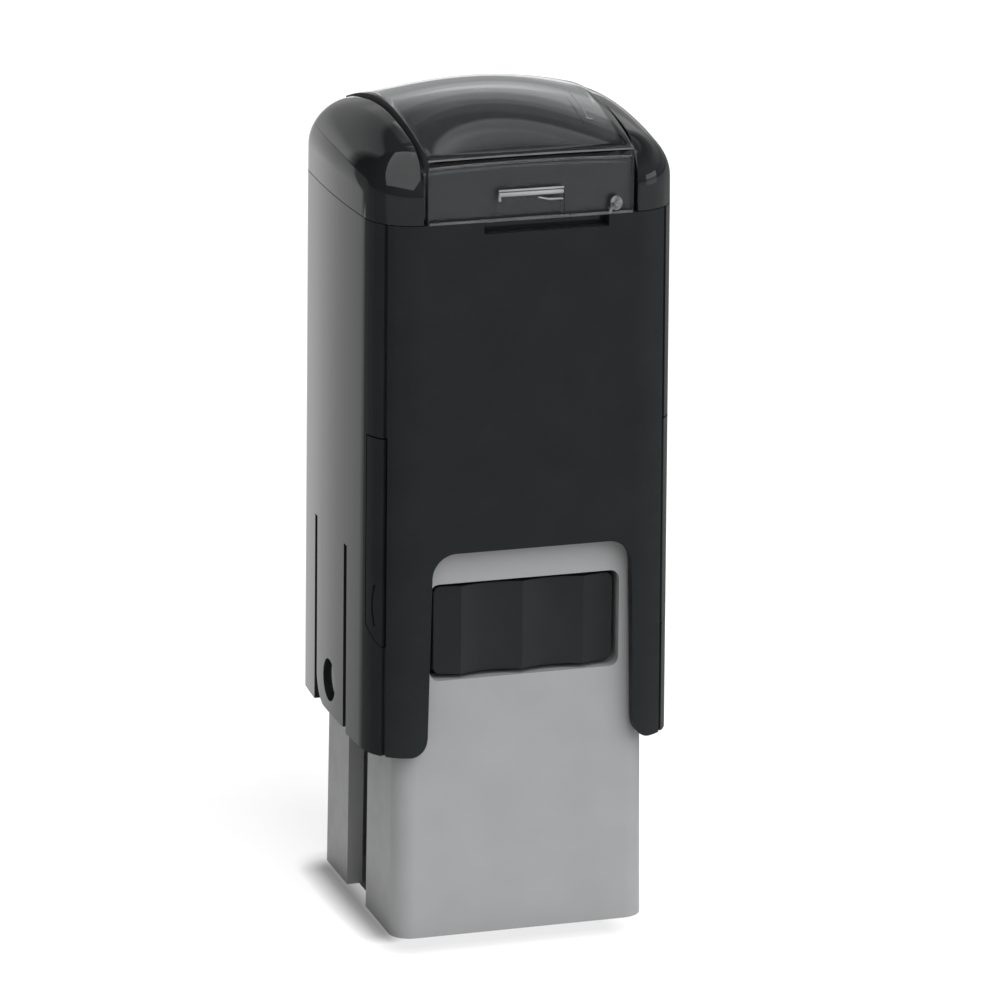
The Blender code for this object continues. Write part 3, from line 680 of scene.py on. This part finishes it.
def make_cover(materials):
    """The glossy top cover: two domed wings, with a lower bed between them under the lens."""
    low_z = PARTING_Z + PARTING_SEAM / 2
    settings = {"corner": CAP_CORNER, "bulge": CAP_BULGE, "side_steps": 26, "face_steps": 24}
    settings["angles"] = corner_angles()
    half = cap_half(FOLD_Z)
    rings = [[(x, y, low_z) for x, y in outline(cap_half(low_z), **settings)]]
    steps = 14
    insets = [COVER_RIM * (1 - math.cos(math.pi / 2 * i / steps)) for i in range(steps + 1)]
    insets += [COVER_RIM + (half.y * 0.985 - COVER_RIM) * i / 22 for i in range(1, 23)]
    for inset in insets:
        fall = 0.0
        if inset < COVER_RIM:
            fall = COVER_RIM - math.sqrt(COVER_RIM**2 - (COVER_RIM - inset) ** 2)
        ring = outline(half, inset=inset, **settings)
        rings.append([(x, y, dome_height(x, y) - WING_DROP - fall) for x, y in ring])
    cover = lofted("cover_wings", rings)
    cover.data.materials.append(materials["gloss"])
    channel = LENS_HALF + LENS_GAP
    channel_low = (-channel, -half.y - BEYOND, low_z - BEYOND)
    channel_high = (channel, half.y + BEYOND, FOLD_Z + CROWN + BEYOND)
    cut(cover, block("channel", channel_low, channel_high))
    bed_drop = LENS_TOP_WALL + CARD_THICKNESS + 0.3 * MM
    bed_front = half.y - LENS_FRONT_WALL - 0.25 * MM
    join(cover, saddle("lens_bed", channel + 0.4 * MM, low_z, bed_front, bed_drop, LENS_INNER_FOLD))
    gap = 0.2 * MM
    plug_inset = (SIDE_WALL + gap, FRONT_WALL + gap)
    plug_z = (CEILING[1] + gap, low_z + 0.5 * MM)
    join(cover, prism("cover_plug", cap_half, *plug_z, plug_inset, CAP_CORNER - FRONT_WALL))
    return soften(cover, 0.10 * MM, 2, 40.0)


def saddle(name, half_x, low_z, front_y, drop, fold):
    """A block whose top follows the lens, drop below it, with a small radius at the front and rear folds."""
    rings = []
    for i in range(SADDLE_STEPS + 1):
        x = half_x * (2 * i / SADDLE_STEPS - 1)
        rings.append([(x, y, z) for y, z in saddle_section(x, low_z, front_y, drop, fold)])
    return lofted(name, rings)


def saddle_section(x, low_z, front_y, drop, fold):
    """The outline of a saddle in Y and Z at one X."""
    top = []
    for k in range(SADDLE_SLICES + 1):
        y = (front_y - fold) * (2 * k / SADDLE_SLICES - 1)
        top.append((y, lens_height(x, y) - drop))
    corner_z = top[0][1]
    arc = []
    for k in range(1, 6):
        angle = math.pi / 2 * k / 6
        arc.append((-(front_y - fold) - fold * math.cos(angle), corner_z - fold + fold * math.sin(angle)))
    section = [(-front_y, low_z), (-front_y, corner_z - fold), *arc, *top]
    section += [(-y, z) for y, z in reversed(arc)]
    section += [(front_y, corner_z - fold), (front_y, low_z)]
    return section


def make_lens(materials):
    """The smoky clear lens: a thin shell with a shallow latch recess in its front panel."""
    front = cap_half(PARTING_Z).y
    low_z = LENS[LOW].z
    lens = saddle("lens_shell", LENS_HALF, low_z, front, 0.0, 0.35 * MM)
    for key in ("clear", "painted_edge_highlight", "card"):
        lens.data.materials.append(materials[key])
    inner = (LENS_HALF + BEYOND, low_z - BEYOND, front - LENS_FRONT_WALL, LENS_TOP_WALL, LENS_INNER_FOLD)
    cut(lens, saddle("lens_inside", *inner))
    recess_low = (-LATCH_HALF, -front - BEYOND, low_z - BEYOND)
    cut(lens, block("latch_recess", recess_low, (LATCH_HALF, -front + 0.18 * MM, LATCH_TOP_Z)))
    soften(lens, 0.09 * MM, 2, 40.0)
    for face in lens.data.polygons:
        along = abs(face.normal.y)
        slanting = 0.6 < along < 0.9 and face.normal.z > 0.3
        if slanting and abs(face.center.y) > front - 0.40 * MM:
            face.material_index = 1  # the folds, in a lighter grey as a painted highlight
        elif along < 0.5 and abs(face.normal.x) > 0.6:
            face.material_index = 2  # the cut sides, in the dark card colour as painted shade
    return lens


def make_lens_details(materials):
    """The lens's small parts: latch ledge, bottom rims and flow line, in light colours that are painted
    highlights, and the moulding pip.
    """
    front = cap_half(PARTING_Z).y
    low_z = LENS[LOW].z
    latch_lines = (  # name, radius, and the ends in X and in Z from the latch's top, in millimetres
        ("upper", 0.09, (-2.78, -0.10), (2.78, -0.10)),
        ("lower", 0.18, (-2.76, -0.42), (2.72, -0.42)),
        ("hook", 0.12, (-2.66, -0.45), (-2.72, -0.95)),
        ("wave_left", 0.07, (0.6, -0.80), (1.5, -1.02)),
        ("wave_right", 0.08, (1.5, -1.02), (2.7, -1.05)),
    )
    bars = []
    for name, radius, start, end in latch_lines:
        ends = [Vector((x * MM, -front + 0.10 * MM, LATCH_TOP_Z + z * MM)) for x, z in (start, end)]
        bars.append(rod(f"latch_{name}", radius * MM, *ends, 24))
    rims = []
    for end, label in ((-1, "front"), (1, "rear")):
        depths = sorted((end * (front - 0.30 * MM), end * (front + 0.01 * MM)))
        rim_low = (-LENS_HALF + 0.1 * MM, depths[0], low_z + 0.02 * MM)
        rim_high = (LENS_HALF - 0.1 * MM, depths[1], low_z + 0.26 * MM)
        rims.append(block(f"lens_rim_{label}", rim_low, rim_high, 0, 0.08 * MM, 3))
    middle = Vector((7.25, 0, 62.45)) * MM + Vector((0, -front + 0.06 * MM, 0))
    half_depth = Vector((0, 0.1 * MM, 0))
    pip = rod("gate_pip", 0.58 * MM, middle + half_depth, middle - half_depth, 32)
    oval = Matrix.Diagonal((0.88, 1, 1.04, 1))
    pip.data.transform(Matrix.Translation(middle) @ oval @ Matrix.Translation(-middle))
    tail_ends = (middle + Vector(shift) * MM for shift in ((-0.35, 0, -0.3), (-0.6, 0, -0.9)))
    tail = rod("gate_tail", 0.13 * MM, *tail_ends, 16)
    crease = make_crease()
    for key, group in (("painted_glint", (*bars, crease)), ("painted_edge_highlight", rims), ("rough_edge", (pip, tail))):
        for piece in group:
            piece.data.materials.append(materials[key])
    pieces = [*bars, *rims, crease, pip, tail]
    for piece in pieces:
        soften(piece, 0.03 * MM)
    return pieces


def make_crease():
    """The fine flow line that runs down the right of the lens."""
    radius, x, count, around = 0.045 * MM, 6.2 * MM, 14, 8
    rings = []
    for i in range(count + 1):
        y = (-1.6 - 6.0 * i / count) * MM
        here = radius * min(1.0, 0.2 + i / 6)
        turns = [2 * math.pi * k / around for k in range(around)]
        rings.append([(x + here * math.cos(a), y, lens_height(x, y) + here * math.sin(a)) for a in turns])
    crease = lofted("flow_line", rings)
    low_end = Vector((x, y, lens_height(x, y)))
    ends = (low_end + Vector(shift) * MM for shift in ((-0.22, 0.1, 0.02), (0.3, -0.25, -0.03)))
    return join(crease, rod("flow_end", radius, *ends, 12))


def make_card(materials):
    half_x, half_y = CARD_HALF
    drop, fold = LENS_TOP_WALL + CARD_GAP, 0.02 * MM
    under = (half_x + BEYOND, PARTING_Z - BEYOND, half_y + BEYOND, drop + CARD_THICKNESS, fold)
    card = saddle("card_sheet", half_x, PARTING_Z, half_y, drop, fold)
    cut(card, saddle("card_under", *under))
    card.data.materials.append(materials["card"])
    return smooth(card, 40.0)


# ---------------------------------------------------------------- base


def base_prism(name, low_z, high_z, inset, corner):
    return prism(name, base_half, low_z, high_z, inset, corner, angles=even_angles(10), side_steps=2)


def make_base_shell(materials):
    shell = base_prism("base_shell", 0.0, BASE_TOP_Z, (0, 0), BASE_CORNER)
    shell.data.materials.append(materials["grey"])
    walls = (BASE_SIDE_WALL, BASE_FRONT_WALL)
    inner = BASE_CORNER / 2
    overlap = 0.3 * MM
    rail_z = WINDOW_Z[0] - RAIL
    reach = BASE[HIGH].y + BEYOND
    window_low = (WINDOW_MIDDLE - WINDOW_HALF, -reach, WINDOW_Z[0])
    window_high = (WINDOW_MIDDLE + WINDOW_HALF, reach, WINDOW_Z[1])
    opening_x, opening_y = 7.2 * MM, 8.9 * MM
    opening_low = (-opening_x, -opening_y, rail_z - overlap)
    opening_high = (opening_x, opening_y, WINDOW_Z[0] + overlap)
    relief_low = (-WINDOW_HALF, -SLOT_HALF, AXLE.z)
    relief_high = (WINDOW_HALF, SLOT_HALF, WINDOW_Z[0] + overlap)
    cut(
        shell,
        base_prism("frame_hollow", -BEYOND, rail_z, walls, inner),
        block("window_cut", window_low, window_high, 1, 0.8 * MM),
        about_axle("pad_opening", opening_low, opening_high),
        about_axle("hub_relief", relief_low, relief_high),
        base_prism("deck_pocket", DECK_Z, BASE_TOP_Z + BEYOND, walls, inner),
    )
    post_ends = (0, AXLE.y, DECK_Z - 0.6 * MM), (0, AXLE.y, BASE[HIGH].z)
    join(shell, rod("spring_post", POST_RADIUS, *post_ends))
    for side, label in ((-1, "left"), (1, "right")):
        reach_x = along_x((SLOT_INNER_X, BASE[HIGH].x + BEYOND), side)
        low = (reach_x[0], -SLOT_HALF, -BEYOND - SLOT_HALF)
        high = (reach_x[1], SLOT_HALF, AXLE.z + SLOT_HALF)
        cut(shell, about_axle(f"slot_{label}", low, high, 0, SLOT_HALF * 0.98, 16))
    return soften(shell, 0.20 * MM, 3)


def make_cartridge(materials):
    low, high = (corner + Vector((WINDOW_MIDDLE, 0, 0)) for corner in CARTRIDGE)
    cartridge = block("cartridge_body", low, high, 1, 0.65 * MM, 5)
    cartridge.data.materials.append(materials["cartridge"])
    scallop = (FLUTE_PITCH**2 / 4 + FLUTE_DEPTH**2) / (2 * FLUTE_DEPTH)
    flutes = []
    for end, label in ((-1, "front"), (1, "rear")):
        for i in range(4):
            x = WINDOW_MIDDLE + FLUTE_FIRST_X + i * FLUTE_PITCH
            y = end * (high.y - FLUTE_DEPTH + scallop)
            ends = (x, y, low.z - BEYOND), (x, y, high.z + BEYOND)
            flutes.append(rod(f"flute_{label}_{i}", scallop, *ends, 160))
    cut(cartridge, *flutes)
    half_x, half_y, overlap = 6.9 * MM, 8.75 * MM, 0.3 * MM
    face_z = PAD[LOW].z
    pocket_low = (-half_x, -half_x, face_z - overlap)
    pocket_high = (half_x, half_x, PAD[HIGH].z + overlap)
    cut(
        cartridge,
        about_axle("mouth", (-half_x, -half_y, low.z - BEYOND), (half_x, half_y, face_z)),
        about_axle("pocket", pocket_low, pocket_high),
    )
    return soften(cartridge, 0.09 * MM)


def cushion_block(name, box, crown, edge, materials, key):
    """A foam or felt block: rounded edges and slightly bowed faces."""
    low, high = box
    size, middle = high - low, (high + low) / 2
    shape = cube_between(low, high)
    round_edges(shape, shape.edges[:], edge, 3)
    bmesh.ops.subdivide_edges(shape, edges=shape.edges[:], cuts=3, use_grid_fill=True)
    for vert in shape.verts:
        across = [abs(vert.co[i] - middle[i]) / (size[i] / 2) for i in (0, 1)]
        pull = crown * (max(across) ** 2)
        vert.co.z -= pull * (vert.co.z - middle.z) / (size.z / 2)
    pad = from_bmesh(name, shape)
    pad.data.materials.append(materials[key])
    return smooth(pad, 60.0)


def make_spring(materials):
    radius, wire = 4.2 * MM, 0.45 * MM
    turns, per_turn, around = 7, 40, 12
    bottom, top = SPRING[LOW].z + wire, SPRING[HIGH].z - wire
    end_pitch = 1.0 * MM
    open_pitch = (top - bottom - 2 * end_pitch) / (turns - 2)
    z = bottom
    rings = []
    for i in range(turns * per_turn + 1):
        angle = 2 * math.pi * i / per_turn
        turn = i / per_turn
        out = Vector((math.cos(angle), math.sin(angle), 0))
        centre = Vector((0, AXLE.y, z)) + out * radius
        ring = []
        for k in range(around):
            roll = 2 * math.pi * k / around
            ring.append(centre + out * wire * math.cos(roll) + Vector((0, 0, wire * math.sin(roll))))
        rings.append(ring)
        z += (end_pitch if turn < 1 or turn >= turns - 1 else open_pitch) / per_turn
    spring = lofted("spring_coil", rings)
    spring.data.materials.append(materials["steel"])
    return smooth(spring, 60.0)


def make_text_plate(materials):
    """The rubber die, with plain bars in place of lettering."""
    low, high = TEXT
    plate = block("rubber_die", low, high, 2, 0.4 * MM, 4)
    plate.data.materials.append(materials["rubber"])
    border, bar_half, hollows = 0.9 * MM, 0.8 * MM, 4
    field = (high.x - low.x) / 2 - border
    pitch = 2 * field / (hollows - 1)
    floor_z = high.z - 0.5 * MM
    cutters = []
    for i in range(hollows):
        middle = -field + i * pitch
        low_y = max(-field, middle - pitch / 2 + bar_half)
        high_y = min(field, middle + pitch / 2 - bar_half)
        ends = (-field, low_y, floor_z), (field, high_y, high.z + BEYOND)
        cutters.append(about_axle(f"relief_{i}", *ends, 2, 0.25 * MM, 3))
    cut(plate, *cutters)
    return soften(plate, 0.05 * MM)


# ---------------------------------------------------------------- scene


FAR = 60.0  # size of the floor and reach of the camera, so that no low view shows the floor's end
FLOOR_GLOW = 0.68
FLOOR_ALBEDO = (0.06, 0.42)  # in full shadow, and away from it
UNDER_FOOT = 0.98  # depth of the shadow inside the foot
SHADOW_SPAN = (10.0 * MM, -13.0 * MM)  # X at which the levels below start and end
SHADOW_START_X = 10.0 * MM
SHADOW_REACH = 4.4 * MM
SHADOW_FADE = ((0.0, 1.0), (0.21, 1.0), (0.44, 0.82), (0.66, 0.46), (0.89, 0.12), (0.97, 0.0))
# The painted shadow on the left and the one in front: where it starts in Y, its shift forward, and its
# level from right to left
SHADOWS = (
    (8.0 * MM, 1.0 * MM, ((0.0, 0.0), (0.80, 0.0), (0.90, 0.62), (0.93, 0.84), (1.0, 0.92))),
    (10.0 * MM, 2.0 * MM, ((0.0, 0.08), (0.13, 0.34), (1.0, 0.36))),
)
CURTAIN_RADIUS = 35.0 * MM
CURTAIN_Z = (0.5 * MM, 66.0 * MM)
# Share of the floor that the curtain hides, by azimuth from the rear round by the left
CURTAIN = (
    (0, 0.0), (-15, 0.6), (-40, 0.85), (-75, 0.80), (-95, 0.64), (-145, 0.62), (-160, 0.70), (180, 0.70),
    (118, 0.72), (112, 0.92), (50.3, 0.90), (49.2, 0.54), (40, 0.42), (30, 0.12), (18, 0.0),
)
# Radiance of the studio walls by the sine of the elevation: right of the rear, and left of it
WALL_RIGHT = (
    (0.0, 0.42), (0.24, 0.42), (0.32, 0.86), (0.51, 0.86), (0.54, 0.44), (0.655, 0.38),
    (0.67, 0.12), (0.775, 0.12), (0.79, 0.90), (0.83, 0.70), (0.85, 0.40), (1.0, 0.30),
)
WALL_LEFT = ((0.0, 0.84), (0.09, 0.71), (0.17, 0.44), (0.34, 0.38), (0.50, 0.27), (0.545, 0.05), (1.0, 0.05))
# Which of the two shows, by azimuth
RIGHT_SHARE = (
    (-175, 0.12), (-110, 0.20), (-85, 0.45), (-50, 0.65), (-34, 1.0), (-12, 1.0),
    (-2, 0.0), (110, 0.0), (130, 0.08),
)
LEFT_SHARE = ((-12, 0.0), (-2, 1.0), (24, 1.0), (26, 0.02), (100, 0.02))


def math_node(made, operation, *values):
    maths = node(made, "ShaderNodeMath")
    maths.operation = operation
    for socket, value in zip(maths.inputs, values):
        if isinstance(value, (int, float)):
            socket.default_value = value
        else:
            link(made, value, socket)
    return maths.outputs["Value"]


def ramp_of(made, value, stops):
    """Grey levels by a value, through (position, level) stops."""
    ramp = node(made, "ShaderNodeValToRGB")
    elements = ramp.color_ramp.elements
    while len(elements) < len(stops):
        elements.new(0.5)
    for element, (position, level) in zip(elements, stops):
        element.position = position
        element.color = (level, level, level, 1.0)
    link(made, value, ramp.inputs["Fac"])
    return ramp.outputs["Color"]


def coordinates(made, kind):
    """X, Y and Z, and a value that runs once round the vertical axis."""
    place = node(made, "ShaderNodeTexCoord").outputs[kind]
    split = node(made, "ShaderNodeSeparateXYZ")
    radial = node(made, "ShaderNodeTexGradient")
    radial.gradient_type = "RADIAL"
    for target in (split, radial):
        link(made, place, target.inputs["Vector"])
    return *split.outputs, radial.outputs["Fac"]


def make_floor():
    """A pale light table. It glows, except close to the foot, where a soft shadow of the stamp is painted into
    its glow and colour.
    """
    bpy.ops.mesh.primitive_plane_add(size=FAR, location=(0, 0, 0))
    floor = bpy.context.object
    floor.name = "studio_floor"
    dark, light = FLOOR_ALBEDO
    pale = material("pale_floor", (light, light, light), 0.7, Specular_IOR_Level=0.0)

    def value_of(operation, *values):
        return math_node(pale, operation, *values)

    x, y, *_ = coordinates(pale, "Object")
    width = SHADOW_SPAN[0] - SHADOW_SPAN[1]
    leftness = value_of("MULTIPLY_ADD", x, -1 / width, SHADOW_SPAN[0] / width)
    shadows = []
    for start_y, forward, levels in SHADOWS:
        squares = []
        for along, start in ((x, SHADOW_START_X), (value_of("ADD", y, forward), start_y)):
            past = value_of("MAXIMUM", value_of("SUBTRACT", value_of("ABSOLUTE", along), start), 0.0)
            squares.append(value_of("MULTIPLY", past, past))
        distance = value_of("DIVIDE", value_of("SQRT", value_of("ADD", *squares)), SHADOW_REACH)
        fade, level = ramp_of(pale, distance, SHADOW_FADE), ramp_of(pale, leftness, levels)
        shadows.append(value_of("MULTIPLY", fade, level))
    farther = value_of("MAXIMUM", value_of("ABSOLUTE", x), value_of("ABSOLUTE", y))
    under = value_of("LESS_THAN", farther, BASE[HIGH].x - 1.0 * MM)
    shade = value_of("MAXIMUM", value_of("MAXIMUM", *shadows), value_of("MULTIPLY", under, UNDER_FOOT))
    glow = value_of("SUBTRACT", 1.0, shade)
    shader = pale.node_tree.nodes["Principled BSDF"]
    link(pale, value_of("MULTIPLY_ADD", glow, light - dark, dark), shader.inputs["Base Color"])
    shader.inputs["Emission Color"].default_value = (1.0, 1.0, 1.0, 1.0)
    link(pale, value_of("MULTIPLY", glow, FLOOR_GLOW), shader.inputs["Emission Strength"])
    vary_roughness(pale, noise(pale, 8.0), 0.65, 0.8)
    floor.data.materials.append(pale)


def towards(azimuth, elevation):
    """Direction at an elevation and an azimuth in degrees, from the rear (+Y) round by the left (-X)."""
    azimuth, elevation = math.radians(azimuth), math.radians(elevation)
    flat = math.cos(elevation)
    return Vector((-math.sin(azimuth) * flat, math.cos(azimuth) * flat, math.sin(elevation)))


def lamp_at(name, kind, direction, distance):
    lamp = bpy.data.lights.new(name, kind)
    obj = bpy.data.objects.new(name, lamp)
    bpy.context.scene.collection.objects.link(obj)
    target = Vector((0, 0, 0.05))
    obj.location = target + direction * distance
    obj.rotation_mode = "QUATERNION"
    obj.rotation_quaternion = (-direction).to_track_quat("-Z", "Y")
    return obj


def softbox(name, direction, distance, size, radiance):
    """A rectangular lamp that faces the object. Radiance is what a mirror would show of it."""
    obj = lamp_at(name, "AREA", direction, distance)
    obj.data.shape = "RECTANGLE"
    obj.data.size, obj.data.size_y = size
    obj.data.energy = radiance * math.pi * size[0] * size[1]
    return obj


def soft_sun(name, direction, strength, spread_degrees):
    """Broad light with no highlight of its own."""
    obj = lamp_at(name, "SUN", direction, 1.0)
    obj.data.energy = strength
    obj.data.angle = math.radians(spread_degrees)
    obj.visible_glossy = False
    return obj


def azimuth_stops(stops):
    """Ramp stops for the radial gradient, from (azimuth, level) pairs with the azimuth as in towards()."""
    placed = [(((90 + azimuth) / 360 + 0.5) % 1.0, level) for azimuth, level in stops]
    return sorted(placed)


def make_curtain():
    """A ring of dark studio cloth round the stamp that only reflections see. It is thin towards the rear."""
    shape = bmesh.new()
    count = 96
    turns = [2 * math.pi * i / count for i in range(count)]
    circle = [(CURTAIN_RADIUS * math.cos(a), CURTAIN_RADIUS * math.sin(a)) for a in turns]
    rows = [[shape.verts.new((x, y, z)) for x, y in circle] for z in CURTAIN_Z]
    for i in range(count):
        j = (i + 1) % count
        shape.faces.new((rows[0][i], rows[0][j], rows[1][j], rows[1][i]))
    curtain = from_bmesh("studio_curtain", shape)
    cloth = bpy.data.materials.new("curtain_cloth")
    cloth.use_nodes = True
    nodes = cloth.node_tree.nodes
    nodes.remove(nodes["Principled BSDF"])
    clear = node(cloth, "ShaderNodeBsdfTransparent")
    dark = node(cloth, "ShaderNodeBsdfDiffuse", Color=(0.03, 0.03, 0.03, 1.0))
    mix = node(cloth, "ShaderNodeMixShader")
    *_, azimuth = coordinates(cloth, "Object")
    link(cloth, ramp_of(cloth, azimuth, azimuth_stops(CURTAIN)), mix.inputs["Fac"])
    link(cloth, clear.outputs["BSDF"], mix.inputs[1])
    link(cloth, dark.outputs["BSDF"], mix.inputs[2])
    link(cloth, mix.outputs["Shader"], nodes["Material Output"].inputs["Surface"])
    curtain.data.materials.append(cloth)
    for ray in ("camera", "diffuse", "shadow", "transmission", "volume_scatter"):
        setattr(curtain, f"visible_{ray}", False)


def make_world():
    """Soft studio light with brighter and darker bands, which give the glossy top its reflections."""
    world = bpy.data.worlds.new("studio")
    bpy.context.scene.world = world
    world.use_nodes = True
    *_, height, azimuth = coordinates(world, "Generated")
    walls = []
    for wall, share in ((WALL_RIGHT, RIGHT_SHARE), (WALL_LEFT, LEFT_SHARE)):
        levels = ramp_of(world, height, wall), ramp_of(world, azimuth, azimuth_stops(share))
        walls.append(math_node(world, "MULTIPLY", *levels))
    background = world.node_tree.nodes["Background"]
    link(world, math_node(world, "ADD", *walls), background.inputs["Color"])


def make_lights():
    make_world()
    make_curtain()
    softbox("panel", towards(135, 62), 0.60, (1.0, 1.0), 1.4)
    softbox("small_box", towards(-123, 3), 0.50, (0.26, 0.22), 1.6)
    soft_sun("key", towards(-155, 38), 3.3, 60)


def make_camera():
    """Camera at the photograph's angle: azimuth, elevation and roll of its line of sight."""
    heading, pitch, roll = math.radians(17.5), math.radians(16.683), math.radians(0.529)
    flat = math.cos(pitch)
    sight = Vector((math.sin(heading) * flat, math.cos(heading) * flat, -math.sin(pitch)))
    level = Vector((math.cos(heading), -math.sin(heading), 0))
    above = level.cross(sight)
    right = level * math.cos(roll) + above * math.sin(roll)
    up = above * math.cos(roll) - level * math.sin(roll)
    data = bpy.data.cameras.new("camera")
    data.sensor_width = 36.0
    data.lens = 238.16
    data.shift_x = -0.0008
    data.clip_start, data.clip_end = 0.05, FAR
    camera = bpy.data.objects.new("camera", data)
    bpy.context.scene.collection.objects.link(camera)
    place = Vector((-158.683, -507.79, 193.754)) * MM
    camera.matrix_world = Matrix.Translation(place) @ Matrix((right, up, -sight)).transposed().to_4x4()
    bpy.context.scene.camera = camera


# ---------------------------------------------------------------- assembly


def stand_for(obj, cad_node, body):
    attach(obj, body)
    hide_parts(cad_node)
    return obj


def make_axle_pin(side, label, materials):
    """A pin whose end shows in the tongue's hole."""
    ends = ((side * x, AXLE.y, AXLE.z) for x in PIN_X)
    pin = rod(f"axle_stub_{label}", PIN_RADIUS, *ends, 64)
    pin.data.materials.append(materials["gloss"])
    return soften(pin, 0.06 * MM)


def dress_cad_nodes(materials):
    """Material and softened edges for the CAD nodes that stay."""
    for name in ("type_carrier", "cam_pin_left", "cam_pin_right"):
        obj = frame["nodes"][name]
        obj.data.materials.clear()
        obj.data.materials.append(materials["carrier"])
        weld = obj.modifiers.new("weld", "WELD")
        weld.merge_threshold = 1e-6
        edges = obj.modifiers.new("edges", "BEVEL")
        edges.width = 0.08 * MM
        edges.segments = 2
        edges.angle_limit = math.radians(35)


def build():
    materials = make_materials()
    stand_for(make_cap_shell(materials), "cap_housing", "cap")
    stand_for(make_cover(materials), "top_cover", "cap")
    stand_for(make_card(materials), "index_card", "cap")
    stand_for(make_lens(materials), "index_lens", "lens")
    for piece in make_lens_details(materials):
        stand_for(piece, "index_lens", "lens")
    for side, label in ((-1, "left"), (1, "right")):
        button = make_lock_button(side, label, materials)
        stand_for(button, f"lock_button_{label}", f"lock_{label}")
        stand_for(make_axle_pin(side, label, materials), f"axle_pin_{label}", "carrier")
    stand_for(make_base_shell(materials), "base_frame", "base")
    stand_for(make_cartridge(materials), "ink_cartridge", "base")
    pad = cushion_block("felt_pad", PAD, 0.10 * MM, 0.25 * MM, materials, "felt")
    stand_for(pad, "ink_pad", "base")
    foam = cushion_block("foam_cushion", CUSHION, 0.02 * MM, 0.12 * MM, materials, "foam")
    stand_for(foam, "die_cushion", "carrier")
    stand_for(make_text_plate(materials), "text_plate", "carrier")
    spring = stand_for(make_spring(materials), "compression_spring", "base")
    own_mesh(spring)
    dress_cad_nodes(materials)


bpy.context.scene.view_settings.view_transform = "Standard"
build()
make_floor()
make_lights()
make_camera()
